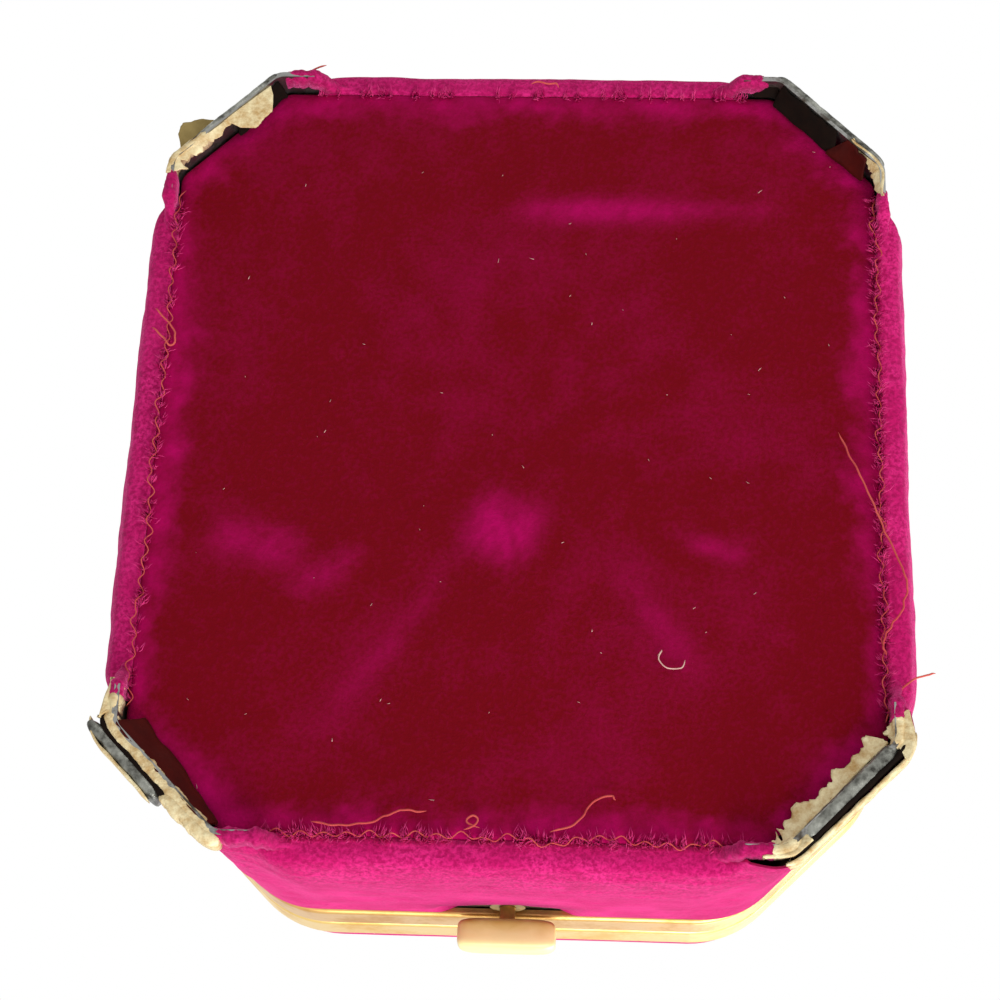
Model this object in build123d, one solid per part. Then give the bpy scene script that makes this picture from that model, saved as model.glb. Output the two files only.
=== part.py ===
from build123d import *
import math
import os

# A velvet-covered ring box with a domed lid, gilt rims and a push-button catch.
# Millimetres.  +Z is up.  The box stands on its four corner feet at z = 0, the button
# faces -Y and the hinge is at +Y.  The pieces are drawn round the middle of the metal shell
# and then moved so that the origin lies under the middle of the whole box.

# ---- Driving dimensions ----------------------------------------------------------------

# Tinplate shell of the base.  Its plan is an oblong with cut corners.
half_width = 27.7  # middle to the shell's outer face, side to side
half_depth = 30.9  # the same, front to back
tin = 0.4
foot_leg = 7.8  # leg of the cut corner at the feet
rim_leg = 10.9  # leg of the cut corner at the rims
foot_round = 1.6  # plan radius of the corners at the feet
rim_round = 7.0  # the same at the rims
apron_height = 2.35  # lower edge of the tin between the feet
foot_wrap = 3.0  # how far each foot runs round onto the sides
foot_curve = 1.9  # radius where the apron drops into a foot

# Rims and dome
parting = 23.15  # plane where the lid meets the base, which is also the hinge's height
parting_gap = 0.2
rim_height = 3.4
rim_metal = 0.7
rim_edge = 0.4  # rounding of the rims' outer edges
flange = 0.4
dome_rise = 19.85  # parting plane to the flat top of the lid
dome_inset = 12.4  # how far the dome draws in from the rim to its flat top
lid_wall = 0.6

# Coverings and card
glue = 0.05  # glue line between a covering and what it covers
lid_nap = 0.35  # velvet's extra width at the lid rim
dome_velvet = 0.8  # velvet's thickness on top of the lid
velvet_edge, velvet_tuck = 0.2, 0.5  # velvet's thickness at its lower and upper edges
velvet_swell = 1.45  # how far the wall's velvet bulges beyond them
velvet_foot = 0.6  # the worn velvet ends at this height at the feet
apron_velvet = 2.0  # and at this one between them
turned_edge = 0.65  # width of the velvet turned in under the apron
panel_gap = 0.1
panel_velvet = 0.9
panel_card = 1.4
card = 1.2
paper = 0.3
paper_length = 9.0
paper_low, paper_high = 0.5, 3.6

# Ring tray inside the base
tray_gap = 0.95  # clear of the hinge leaf's rivets
platform_drop = 7.15  # platform's underside below the parting plane
border_width, border_depth = 7.85, 10.0  # tray's edge to the rolls, at the sides and the ends
border_height = 3.2
border_gap = 0.4
border_round = 0.8
pad_height = 5.1
pad_round = 2.2
pad_crown = 1.9
ring_slot = 1.4
platform_slot = 3.0
slot_end = 2.0  # platform's slot stops this far inside the rolls
ledge_drop = 4.35  # ledge's underside below the parting plane
ledge_gap = 0.3
ledge_block = 4.0
ledge_block_place = 11.0

# Lid lining
board_drop = 4.75  # board's underside below the lid's top
board_inset = 6.7
lid_pad_height = 5.2
lid_pad_inset = 8.2
lid_pad_round = 1.8
frill = 1.2
frill_lift = 0.75  # frill's lower edge above the parting plane
frill_low_inset, frill_high_inset = 1.5, 6.3

# Hinge
barrel = 1.1
barrel_length = 20.0
pin_radius = 0.45
pin_head = 0.25
running = 0.05
lid_knuckle = 7.0
knuckle_gap = 0.15
axis_clear = 0.15  # hinge axis behind the rims' outer faces
swing_clear = 0.3
leaf = 0.4
leaf_drop = 7.0
lid_leaf_inset = 1.5  # the lid's leaf is this much shorter at each end than the barrel
rivet_radius = 0.5
rivet_head = 1.0
head_height = 0.3
hole_clear = 0.05
seat = 0.02  # gap between a riveted plate and the wall behind it
hinge_rivet_pitch = 6.0
base_rivet_drop = 5.15
lid_rivet_rise = 2.35

# Button and catch
button_length, button_height, button_depth = 7.4, 3.0, 2.3
button_round = 0.9
button_drop = 1.65  # middle of the button below the base rim
button_stand = 0.6  # button's inner face to the rim's outer face
button_travel = 0.8
shank_radius = 0.6
shank_clear = 0.06
shank_seat = 1.2  # depth of the shank's hole in the button
touch = 0.1  # shank's end to the blade
eyelet_radius = 1.0
eyelet_flange = 1.35
eyelet_lip, eyelet_turn = 0.3, 0.2
eyelet_clear = 0.15
pocket_margin = 0.9
pocket_clear = 0.2  # left behind the button when it is pressed
pocket_round = 1.6
blade_width = 5.2
blade_stand = 1.3  # shell's inner face to the blade
bend_height = 8.0
bend_gap = 0.1
blade_drop = 0.85  # blade's tip below the parting plane
tooth_height, tooth_width = 1.0, 2.2
tooth_gap = 0.13  # left between the tooth and the strike plate
tooth_drop = 0.4  # top of the tooth below the blade's tip
catch_rivet_pitch = 1.6
catch_rivet_level = 6.0
root_end = 1.2  # root's end below its rivets
strike_width = 6.4
strike_drop = 2.95
window_width, window_height = 2.8, 1.2
window_rim = 0.6  # strip left under the window
strike_rivet_pitch = 2.1
strike_rivet_rise = 1.85

# ---- Sizes worked out from these -------------------------------------------------------

LEAN = 2 - math.sqrt(2)  # change of a cut corner's leg for each unit of offset
FAR = 80.0  # beyond every face of the box

base_rim_high = parting - parting_gap / 2
base_rim_low = base_rim_high - rim_height
lid_rim_low = parting + parting_gap / 2
lid_rim_high = lid_rim_low + rim_height
lid_top = parting + dome_rise
rim_grow = 2 * glue + rim_metal
rim_front = -(half_depth + rim_grow)
shell_front = tin - half_depth
shell_back = half_depth - tin
lid_front = lid_wall - half_depth
lid_back = half_depth - lid_wall

axis_y = half_depth + rim_grow + axis_clear
hinge_notch = barrel_length / 2 + pin_head + swing_clear
base_notch_low = parting - barrel - swing_clear
lid_notch_high = parting + barrel + swing_clear
base_rivet_level = parting - base_rivet_drop
lid_rivet_level = parting + lid_rivet_rise

button_level = base_rim_low - button_drop
button_inner = rim_front - button_stand
blade_y = shell_front + blade_stand
blade_tip = parting - blade_drop
blade_swing = button_travel * (blade_tip - bend_height) / (button_level - bend_height)
tooth_tip = lid_front + seat + leaf + tooth_gap
strike_low = parting - strike_drop
strike_rivet_level = parting + strike_rivet_rise

card_low = apron_velvet + panel_velvet + glue
tray_floor = card_low + panel_card + glue
platform_low = parting - platform_drop
pad_floor = platform_low + card + glue
tray_front = blade_y + leaf + blade_swing + swing_clear
tray_back = shell_back - tray_gap
pad_middle = (tray_front + tray_back) / 2
pad_half_width = half_width - tin - tray_gap - border_width
pad_half_depth = (tray_back - tray_front) / 2 - border_depth
ledge_low = parting - ledge_drop
board_low = lid_top - board_drop

box_front = button_inner - button_depth
box_back = axis_y + barrel
to_middle = -(box_front + box_back) / 2


# ---- Shapes that several pieces share --------------------------------------------------


def octagon(half_x, half_y, leg, radius, z):
    """Level face: an oblong with cut corners and rounded vertices."""
    x, y = half_x - leg, half_y - leg
    corners = [(half_x, y), (x, half_y), (-x, half_y), (-half_x, y)]
    corners += [(-half_x, -y), (-x, -half_y), (x, -half_y), (half_x, -y)]
    outline = make_face(Polyline(*corners, close=True).edges())
    return Pos(0, 0, z) * fillet(outline.vertices(), radius).face()


def plan(z, grow=0.0):
    """The shell's plan at a height, moved outwards by grow."""
    share = min(z / parting, 1.0)
    leg = foot_leg + (rim_leg - foot_leg) * share + LEAN * grow
    radius = max(foot_round + (rim_round - foot_round) * share + grow, 0.5)
    return octagon(half_width + grow, half_depth + grow, leg, radius, z)


def prism(low, high, grow=0.0):
    """Solid that follows the shell's plan between two heights."""
    return loft([plan(low, grow), plan(high, grow)], ruled=True)


def sleeve(low, high, outer, inner):
    """Hollow version of the same."""
    return prism(low, high, outer) - prism(low, high, inner)


def column(low, high, grow, level):
    """Upright solid with the shell's plan taken at one level."""
    return extrude(Pos(0, 0, low - level) * plan(level, grow), high - low, dir=(0, 0, 1))


def block(x0, x1, y0, y1, z0, z1):
    """Box between two corners."""
    return Pos((x0 + x1) / 2, (y0 + y1) / 2, (z0 + z1) / 2) * Box(x1 - x0, y1 - y0, z1 - z0)


def rod_x(radius, x0, x1, y, z):
    """Round bar along X."""
    return Pos((x0 + x1) / 2, y, z) * Rot(0, 90, 0) * Cylinder(radius, x1 - x0)


def rod_y(radius, y0, y1, x, z):
    """Round bar along Y."""
    return Pos(x, (y0 + y1) / 2, z) * Rot(90, 0, 0) * Cylinder(radius, y1 - y0)


def spans(height, margin=0.0):
    """Everything below the arched apron between the feet."""
    across = half_width - foot_leg - foot_wrap - margin
    along = half_depth - foot_leg - foot_wrap - margin
    front = block(-across, across, -FAR, FAR, -height, height)
    front = fillet(front.edges().filter_by(Axis.Y).group_by(Axis.Z)[-1], foot_curve)
    side = block(-FAR, FAR, -along, along, -height, height)
    side = fillet(side.edges().filter_by(Axis.X).group_by(Axis.Z)[-1], foot_curve)
    return front + side


def dome(low, top, wall, inset):
    """Solid dome: upright up to the rim's top, then a quarter ellipse to a flat top."""
    sections = []
    for share in (0.0, 0.25, 0.45, 0.62, 0.77, 0.89, 0.97, 1.0):
        grow = wall - inset * (1 - math.sqrt(1 - share**2))
        radius = max(rim_round + 0.45 * grow, 1.5)
        z = lid_rim_high + (top - lid_rim_high) * share
        sections.append(octagon(half_width + grow, half_depth + grow, rim_leg + LEAN * grow, radius, z))
    if low == lid_rim_high:
        return loft(sections)
    return loft(sections) + extrude(sections[0], lid_rim_high - low, dir=(0, 0, -1))


def rivets(half_pitch, z, wall, plate):
    """Pair of rivets along Y, flush with the wall and with a flat head on the plate."""
    inward = 1 if plate > wall else -1
    end = plate + inward * head_height
    pair = []
    for x in (-half_pitch, half_pitch):
        shank = rod_y(rivet_radius, *sorted((wall, end)), x, z)
        pair.append(shank + rod_y(rivet_head, *sorted((plate, end)), x, z))
    return Compound(children=pair)


def rivet_holes(half_pitch, z, y0, y1):
    """Holes for such a pair."""
    radius = rivet_radius + hole_clear
    return rod_y(radius, y0, y1, -half_pitch, z) + rod_y(radius, y0, y1, half_pitch, z)


# ---- Outside of the base ---------------------------------------------------------------


def make_base_shell():
    """Tin wall with arched apron, four feet, button hole and hinge notch."""
    shell = sleeve(0, base_rim_high - flange - glue, 0, -tin) - spans(apron_height)
    shell -= rod_y(eyelet_radius + hole_clear, -FAR, shell_front + 1, 0, button_level)
    shell -= rivet_holes(catch_rivet_pitch, catch_rivet_level, -FAR, shell_front + 1)
    shell -= rivet_holes(hinge_rivet_pitch, base_rivet_level, shell_back - 1, FAR)
    return shell - block(-hinge_notch, hinge_notch, shell_back - 1, FAR, base_notch_low, FAR)


def make_base_velvet():
    """Velvet round the wall, turned in under the apron and pocketed behind the button."""
    sections = []
    for share in (0.0, 0.07, 0.15, 0.27, 0.43, 0.62, 0.82, 1.0):
        swell = velvet_swell * math.sin(math.pi * share**0.42)
        grow = velvet_edge + (velvet_tuck - velvet_edge) * share + swell
        sections.append(plan(velvet_foot + (base_rim_low - velvet_foot) * share, grow))
    cover = loft(sections) - prism(velvet_foot, base_rim_low, glue)
    cover -= spans(apron_velvet)
    lip = sleeve(apron_velvet, apron_height - glue, velvet_edge, -turned_edge - glue)
    cover += lip & spans(apron_height, panel_gap * 2)
    floor = button_inner + button_travel + pocket_clear
    half = button_length / 2 + pocket_margin
    low = button_level - button_height / 2 - pocket_margin
    pocket = block(-half, half, -FAR, floor, low, FAR)
    pocket = fillet(pocket.edges().filter_by(Axis.Y).group_by(Axis.Z)[0], pocket_round)
    return cover - pocket - rod_y(eyelet_flange + eyelet_clear, -FAR, shell_front, 0, button_level)


def make_base_rim():
    """Lower rim, notched for the hinge barrel."""
    notch = block(-hinge_notch, hinge_notch, shell_back - 1, FAR, base_notch_low, FAR)
    hollow = column(base_rim_low, base_rim_high - flange, 2 * glue, base_rim_low)
    return rim_ring(base_rim_low, tin) - hollow - notch


def rim_ring(low, wall):
    """Solid ring of a rim as wide as its flange, with rounded outer edges."""
    high = low + rim_height
    outer = column(low, high, rim_grow, parting)
    levels = outer.edges().group_by(Axis.Z)
    return fillet(levels[0] + levels[-1], rim_edge) - column(low, high, -wall, parting)


# ---- Bottom panel and the papers behind the feet ---------------------------------------


def corner_box(sign_x, sign_y, length):
    """Tall box across one cut corner."""
    x = sign_x * (half_width - foot_leg / 2)
    y = sign_y * (half_depth - foot_leg / 2)
    turn = -45 if sign_x * sign_y > 0 else 45
    return Pos(x, y, 0) * Rot(0, 0, turn) * Box(length, foot_leg, FAR)


def panel_layer(low, thickness):
    """One layer of the bottom panel, let in at the corners for the papers."""
    high = low + thickness
    layer = prism(low, high, -turned_edge - glue - panel_gap)
    slot = sleeve(low, high, tin, -tin - glue - paper - panel_gap)
    for sign_x in (-1, 1):
        for sign_y in (-1, 1):
            layer -= slot & corner_box(sign_x, sign_y, paper_length + 4 * panel_gap)
    return layer


def make_foot_paper(sign_x, sign_y):
    """Paper backing behind one foot."""
    ring = sleeve(paper_low, paper_high, -tin - glue, -tin - glue - paper)
    return ring & corner_box(sign_x, sign_y, paper_length)


# ---- Ring tray -------------------------------------------------------------------------


def tray_solid(low, high, inset):
    """Upright solid on the tray's plan: the shell's plan, cut off at the tray's front."""
    body = column(low, high, -tin - tray_gap - inset, pad_floor)
    return body - block(-FAR, FAR, -FAR, tray_front + inset, low - 1, high + 1)


def make_tray_wall():
    """Card wall that carries the platform."""
    return tray_solid(tray_floor, platform_low, 0) - tray_solid(tray_floor, platform_low, card)


def make_tray_platform():
    """Card platform with the slot that the rings' bands pass through."""
    board = tray_solid(platform_low + glue, platform_low + card, 0)
    half_x = pad_half_width - slot_end
    half_y = platform_slot / 2
    return board - block(-half_x, half_x, pad_middle - half_y, pad_middle + half_y, 0, FAR)


def make_pad_roll(side):
    """One of the two rolls that grip a ring between them."""
    ends = sorted((pad_middle + side * ring_slot / 2, pad_middle + side * pad_half_depth))
    roll = block(-pad_half_width, pad_half_width, *ends, pad_floor, pad_floor + pad_height)
    roll = fillet(roll.edges().filter_by(Axis.Z), pad_round)
    return fillet(roll.edges().group_by(Axis.Z)[-1], pad_crown)


def make_tray_border():
    """Padded satin border between the rolls and the wall."""
    half_x = pad_half_width + border_gap
    half_y = pad_half_depth + border_gap
    inner = block(-half_x, half_x, pad_middle - half_y, pad_middle + half_y, 0, FAR)
    inner = fillet(inner.edges().filter_by(Axis.Z), pad_round)
    ring = tray_solid(pad_floor, pad_floor + border_height, panel_gap) - inner
    return fillet(ring.edges().group_by(Axis.Z)[-1], border_round)


def make_front_ledge():
    """Satin-covered card strips over the chamber of the catch, one on each side of it."""
    body = column(ledge_low, ledge_low + card, -tin - ledge_gap, ledge_low)
    strip = body & block(-FAR, FAR, -FAR, tray_front - panel_gap, 0, FAR)
    half = strike_width / 2 + ledge_gap
    return strip - block(-half, half, -FAR, FAR, 0, FAR)


def make_ledge_blocks():
    """Two small wooden blocks, glued to the bottom card, that carry the ledge."""
    pair = []
    for side in (-1, 1):
        x = side * ledge_block_place
        ends = (shell_front + panel_gap, tray_front - panel_gap)
        pair.append(block(x - ledge_block / 2, x + ledge_block / 2, *ends, tray_floor, ledge_low - glue))
    return Compound(children=pair)


# ---- Hinge -----------------------------------------------------------------------------


def knuckle(x0, x1):
    """Solid of a short tube round the hinge pin."""
    return rod_x(barrel, x0, x1, axis_y, parting)


def bore():
    """Bore for the hinge pin."""
    return rod_x(pin_radius + running, -FAR, FAR, axis_y, parting)


def make_hinge_leaf_base():
    """Two knuckles whose tongues pass over the tin and join in a riveted leaf inside."""
    low = parting - barrel
    inner = shell_back - seat
    half = barrel_length / 2
    part = block(-half, half, inner - leaf, inner, low - leaf_drop, low + leaf)
    for side in (-1, 1):
        ends = sorted((side * (lid_knuckle / 2 + knuckle_gap), side * half))
        part += block(*ends, inner - leaf, axis_y, low, low + leaf) + knuckle(*ends)
    return part - bore() - rivet_holes(hinge_rivet_pitch, base_rivet_level, 0, FAR)


def make_hinge_leaf_lid():
    """Middle knuckle with a tongue and a riveted leaf inside the lid."""
    high = parting + barrel
    inner = lid_back - seat
    half = lid_knuckle / 2
    wide = barrel_length / 2 - lid_leaf_inset
    part = block(-wide, wide, inner - leaf, inner, high - leaf, lid_rim_high)
    part += block(-half, half, inner - leaf, axis_y, high - leaf, high) + knuckle(-half, half)
    return part - bore() - rivet_holes(hinge_rivet_pitch, lid_rivet_level, 0, FAR)


def make_hinge_pin():
    """Pin through all three knuckles, with peened ends."""
    end = barrel_length / 2 + pin_head
    pin = rod_x(pin_radius, -end, end, axis_y, parting)
    for side in (-1, 1):
        head = sorted((side * (end - pin_head + running), side * end))
        pin += rod_x(pin_radius + leaf * 0.75, *head, axis_y, parting)
    return pin


# ---- Button and catch ------------------------------------------------------------------


def make_push_button():
    """Rounded bar of the button, bored for its shank."""
    half = button_length / 2
    low = button_level - button_height / 2
    bar = block(-half, half, box_front, button_inner, low, low + button_height)
    bar = fillet(bar.edges(), button_round)
    return bar - rod_y(shank_radius, button_inner - shank_seat, 0, 0, button_level)


def make_button_shank():
    """Pin from the button through the eyelet to the blade, with a domed end."""
    shank = rod_y(shank_radius, button_inner - shank_seat, blade_y - touch, 0, button_level)
    return fillet(shank.edges().sort_by(Axis.Y)[-1], shank_radius * 0.7)


def make_button_eyelet():
    """Brass eyelet that lines the hole through the wall."""
    wall_out = -half_depth - glue
    wall_in = shell_front + glue
    part = rod_y(eyelet_radius, wall_out, wall_in, 0, button_level)
    part += rod_y(eyelet_flange, wall_out - eyelet_lip, wall_out, 0, button_level)
    part += rod_y(eyelet_flange, wall_in, wall_in + eyelet_turn, 0, button_level)
    return part - rod_y(shank_radius + shank_clear, -FAR, FAR, 0, button_level)


def make_catch_root():
    """Fixed end of the spring strip, riveted to the wall and stepped off it."""
    half = blade_width / 2
    wall = shell_front + seat
    high = bend_height - bend_gap
    part = block(-half, half, wall, wall + leaf, catch_rivet_level - root_end, high)
    part += block(-half, half, wall, blade_y + leaf, high - 2 * leaf, high)
    return part - rivet_holes(catch_rivet_pitch, catch_rivet_level, -FAR, 0)


def make_catch_blade():
    """Free end of the spring strip with its tooth, sloped on top for the lid to ride over."""
    strip = block(-blade_width / 2, blade_width / 2, blade_y, blade_y + leaf, bend_height, blade_tip)
    high = blade_tip - tooth_drop
    low = high - tooth_height
    side = [(0, blade_y, low), (0, tooth_tip, low), (0, blade_y, high)]
    tooth = extrude(make_face(Polyline(*side, close=True).edges()), tooth_width, dir=(1, 0, 0))
    return strip + Pos(-tooth_width / 2, 0, 0) * tooth


def make_strike_plate():
    """Plate that hangs from the lid and is held by the tooth at its window."""
    half = strike_width / 2
    y = lid_front + seat
    plate = block(-half, half, y, y + leaf, strike_low, lid_rim_high - rim_edge)
    low = strike_low + window_rim
    plate -= block(-window_width / 2, window_width / 2, -FAR, FAR, low, low + window_height)
    return plate - rivet_holes(strike_rivet_pitch, strike_rivet_level, -FAR, 0)


# ---- Lid -------------------------------------------------------------------------------


def make_lid_shell():
    """Pressed tin dome."""
    low = lid_rim_low + flange + glue
    top = lid_top - dome_velvet - glue
    shell = dome(low, top, 0, dome_inset - rim_edge)
    shell -= dome(low, top - lid_wall, -lid_wall, dome_inset - rim_edge)
    shell -= rivet_holes(hinge_rivet_pitch, lid_rivet_level, lid_back - 1, FAR)
    shell -= rivet_holes(strike_rivet_pitch, strike_rivet_level, -FAR, lid_front + 1)
    return shell - block(-hinge_notch, hinge_notch, lid_back - 1, FAR, 0, lid_notch_high)


def make_lid_velvet():
    """Velvet over the dome, from the rim up."""
    outer = dome(lid_rim_high, lid_top, lid_nap, dome_inset)
    return outer - dome(lid_rim_high, lid_top - dome_velvet, glue, dome_inset - rim_edge)


def make_lid_rim():
    """Upper rim, notched for the hinge barrel."""
    notch = block(-hinge_notch, hinge_notch, lid_back - 1, FAR, 0, lid_notch_high)
    hollow = column(lid_rim_low + flange, lid_rim_high, 2 * glue, base_rim_low)
    return rim_ring(lid_rim_low, lid_wall) - hollow - notch


def lining(inset, z):
    """Level face for the lid's lining, drawn in from the shell's plan at the rims."""
    radius = max(rim_round - inset / 2, 2.0)
    return octagon(half_width - inset, half_depth - inset, rim_leg - LEAN * inset, radius, z)


def make_lid_board():
    """Card board inside the dome that the lid's pad is glued to."""
    return extrude(lining(board_inset, board_low), card, dir=(0, 0, 1))


def make_lid_pad():
    """Satin cushion inside the lid."""
    low = board_low - glue - lid_pad_height
    pad = extrude(lining(lid_pad_inset, low), lid_pad_height, dir=(0, 0, 1))
    return fillet(pad.edges().group_by(Axis.Z)[0], lid_pad_round)


def make_lid_frill():
    """Gathered satin that runs from the rim up to the board."""
    low = parting + frill_lift
    high = board_low - glue
    outer = loft([lining(frill_low_inset, low), lining(frill_high_inset, high)], ruled=True)
    inner = [lining(frill_low_inset + frill, low), lining(frill_high_inset + frill, high)]
    return outer - loft(inner, ruled=True)


# ---- Build -----------------------------------------------------------------------------

PIECES = {
    "base_shell": make_base_shell,
    "base_velvet": make_base_velvet,
    "base_rim": make_base_rim,
    "bottom_velvet": lambda: panel_layer(apron_velvet, panel_velvet),
    "bottom_card": lambda: panel_layer(card_low, panel_card),
    "foot_paper_front_left": lambda: make_foot_paper(-1, -1),
    "foot_paper_front_right": lambda: make_foot_paper(1, -1),
    "foot_paper_back_left": lambda: make_foot_paper(-1, 1),
    "foot_paper_back_right": lambda: make_foot_paper(1, 1),
    "tray_wall": make_tray_wall,
    "tray_platform": make_tray_platform,
    "pad_roll_front": lambda: make_pad_roll(-1),
    "pad_roll_back": lambda: make_pad_roll(1),
    "tray_border": make_tray_border,
    "front_ledge": make_front_ledge,
    "ledge_blocks": make_ledge_blocks,
    "hinge_leaf_base": make_hinge_leaf_base,
    "hinge_leaf_lid": make_hinge_leaf_lid,
    "hinge_pin": make_hinge_pin,
    "hinge_rivets_base": lambda: rivets(
        hinge_rivet_pitch, base_rivet_level, half_depth, shell_back - seat - leaf
    ),
    "hinge_rivets_lid": lambda: rivets(
        hinge_rivet_pitch, lid_rivet_level, half_depth, lid_back - seat - leaf
    ),
    "push_button": make_push_button,
    "button_shank": make_button_shank,
    "button_eyelet": make_button_eyelet,
    "catch_root": make_catch_root,
    "catch_blade": make_catch_blade,
    "catch_rivets": lambda: rivets(
        catch_rivet_pitch, catch_rivet_level, -half_depth, shell_front + seat + leaf
    ),
    "strike_plate": make_strike_plate,
    "strike_rivets": lambda: rivets(
        strike_rivet_pitch, strike_rivet_level, -half_depth, lid_front + seat + leaf
    ),
    "lid_shell": make_lid_shell,
    "lid_velvet": make_lid_velvet,
    "lid_rim": make_lid_rim,
    "lid_board": make_lid_board,
    "lid_pad": make_lid_pad,
    "lid_frill": make_lid_frill,
}

os.makedirs("parts", exist_ok=True)
for name, make in PIECES.items():
    export_step(Pos(0, to_middle, 0) * make(), f"parts/{name}.step")
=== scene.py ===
import math

import bpy
import numpy as np
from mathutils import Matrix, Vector, noise


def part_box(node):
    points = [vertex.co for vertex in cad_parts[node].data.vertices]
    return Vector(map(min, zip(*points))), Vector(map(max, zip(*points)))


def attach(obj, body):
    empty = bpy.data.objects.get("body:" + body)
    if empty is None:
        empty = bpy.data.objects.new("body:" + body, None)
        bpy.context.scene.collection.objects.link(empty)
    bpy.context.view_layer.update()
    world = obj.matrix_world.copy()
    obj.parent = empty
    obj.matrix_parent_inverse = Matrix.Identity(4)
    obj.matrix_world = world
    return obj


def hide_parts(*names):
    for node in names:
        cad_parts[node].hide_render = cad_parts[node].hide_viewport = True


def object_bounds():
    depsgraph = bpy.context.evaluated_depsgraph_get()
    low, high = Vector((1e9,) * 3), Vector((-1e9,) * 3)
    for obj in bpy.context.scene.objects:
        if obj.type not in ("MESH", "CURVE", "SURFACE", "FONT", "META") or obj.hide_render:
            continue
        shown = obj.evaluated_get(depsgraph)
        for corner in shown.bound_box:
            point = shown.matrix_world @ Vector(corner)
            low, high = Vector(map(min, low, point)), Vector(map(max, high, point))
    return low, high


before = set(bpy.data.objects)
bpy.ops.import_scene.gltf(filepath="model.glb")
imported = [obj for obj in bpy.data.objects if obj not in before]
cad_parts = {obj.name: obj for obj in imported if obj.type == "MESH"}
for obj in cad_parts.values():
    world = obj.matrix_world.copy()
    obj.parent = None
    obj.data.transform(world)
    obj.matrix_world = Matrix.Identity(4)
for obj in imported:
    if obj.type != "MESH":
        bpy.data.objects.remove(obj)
cad_low, cad_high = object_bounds()

# A velvet-covered ring box with gilt rims, seen from under its feet.  Sizes are millimetres,
# turned to metres where a mesh is made.  +Z is up, the button faces -Y, the hinge is at +Y.


# ---- Camera, floor and light -------------------------------------------------------------
# The box was laid on its lid to be photographed, so the camera stands below the model and
# looks up at the bottom panel and the front wall.  The floor shows only from above.

MM = 0.001
camera_place = (-8.25, -71.72, -161.17)
camera_turn = (-157.027, -2.449, 177.760)  # degrees
camera_lens = 86.4
camera_shift = (0.006, -0.012)  # shares of the picture's width
camera_near = 10.0
ambient = 0.50  # share of full white that comes from all round
floor_half = 400.0
floor_level = -0.12  # just clear of the paper scraps under the feet
floor_fade = (120.0, 210.0)  # the floor melts into the white between these radii
lamps = {
    # name: (place, width, power in watts)
    "key_front": ((-90, -330, -110), 240, 1.20),
    "fill_below": ((-210, 120, -230), 260, 0.30),
    "key_above": ((-170, -200, 270), 260, 0.80),
    "fill_above": ((220, 170, 230), 260, 0.45),
}


def colour(code):
    """Linear RGBA of an sRGB hex code."""
    parts = [int(code[i : i + 2], 16) / 255 for i in (1, 3, 5)]
    return [*(p / 12.92 if p <= 0.04045 else ((p + 0.055) / 1.055) ** 2.4 for p in parts), 1.0]


def add(tree, kind, links=None, **settings):
    """Adds a node. links gives its inputs a value or another node's output."""
    node = tree.nodes.new("ShaderNode" + kind)
    for name, value in settings.items():
        setattr(node, name, value)
    for socket, value in (links or {}).items():
        if isinstance(value, bpy.types.NodeSocket):
            tree.links.new(value, node.inputs[socket])
        else:
            node.inputs[socket].default_value = value
    return node


def start_material(name):
    """Empty material, its tree, and the coordinates of the piece that it is on."""
    made = bpy.data.materials.new(name)
    made.use_nodes = True
    made.node_tree.nodes.clear()
    return made, made.node_tree, add(made.node_tree, "TexCoord").outputs["Object"]


scene = bpy.context.scene
scene.view_settings.view_transform = "Standard"
camera = bpy.data.objects.new("camera", bpy.data.cameras.new("camera"))
camera.data.lens = camera_lens
camera.data.shift_x, camera.data.shift_y = camera_shift
camera.data.clip_start = camera_near * MM
camera.location = [c * MM for c in camera_place]
camera.rotation_euler = [math.radians(a) for a in camera_turn]
scene.collection.objects.link(camera)
scene.camera = camera

box_middle = (cad_low + cad_high) / 2
for name, (place, width, power) in lamps.items():
    lamp = bpy.data.objects.new(name, bpy.data.lights.new(name, "AREA"))
    lamp.data.size = width * MM
    lamp.data.energy = power
    lamp.location = Vector(place) * MM
    lamp.rotation_euler = (box_middle - lamp.location).to_track_quat("-Z", "Y").to_euler()
    scene.collection.objects.link(lamp)

world = bpy.data.worlds.new("white_studio")
world.use_nodes = True
world.node_tree.nodes.clear()
scene.world = world
tree = world.node_tree
rays = add(tree, "LightPath")
seen = rays.outputs["Is Camera Ray"]
for kind in ("Glossy", "Transmission"):
    seen = add(tree, "Math", {0: seen, 1: rays.outputs[f"Is {kind} Ray"]}, operation="MAXIMUM").outputs[0]
strength = add(tree, "Math", {0: seen, 1: 1 - ambient, 2: ambient}, operation="MULTIPLY_ADD")
white = add(tree, "Background", {"Color": colour("#ffffff"), "Strength": strength.outputs[0]})
add(tree, "OutputWorld", {"Surface": white.outputs[0]})

# Matt white floor: only the camera sees it, only from above, and it fades out round its edge.
floor_white, tree, place = start_material("white_floor")
rays = add(tree, "LightPath")
side = add(tree, "NewGeometry")
radius = add(tree, "VectorMath", {0: place}, operation="LENGTH")
near = add(
    tree,
    "MapRange",
    {
        "Value": radius.outputs["Value"],
        "From Min": floor_fade[0] * MM,
        "From Max": floor_fade[1] * MM,
        "To Min": 1.0,
        "To Max": 0.0,
    },
    interpolation_type="SMOOTHSTEP",
)
above = add(tree, "Math", {0: 1.0, 1: side.outputs["Backfacing"]}, operation="SUBTRACT")
shown = rays.outputs["Is Camera Ray"]
for share in (above, near):
    shown = add(tree, "Math", {0: shown, 1: share.outputs[0]}, operation="MULTIPLY").outputs[0]
clear = add(tree, "BsdfTransparent")
matt = add(tree, "BsdfDiffuse", {"Color": colour("#f7f6f4")})
mixed = add(tree, "MixShader", {0: shown, 1: clear.outputs[0], 2: matt.outputs[0]})
add(tree, "OutputMaterial", {"Surface": mixed.outputs[0]})

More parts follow.
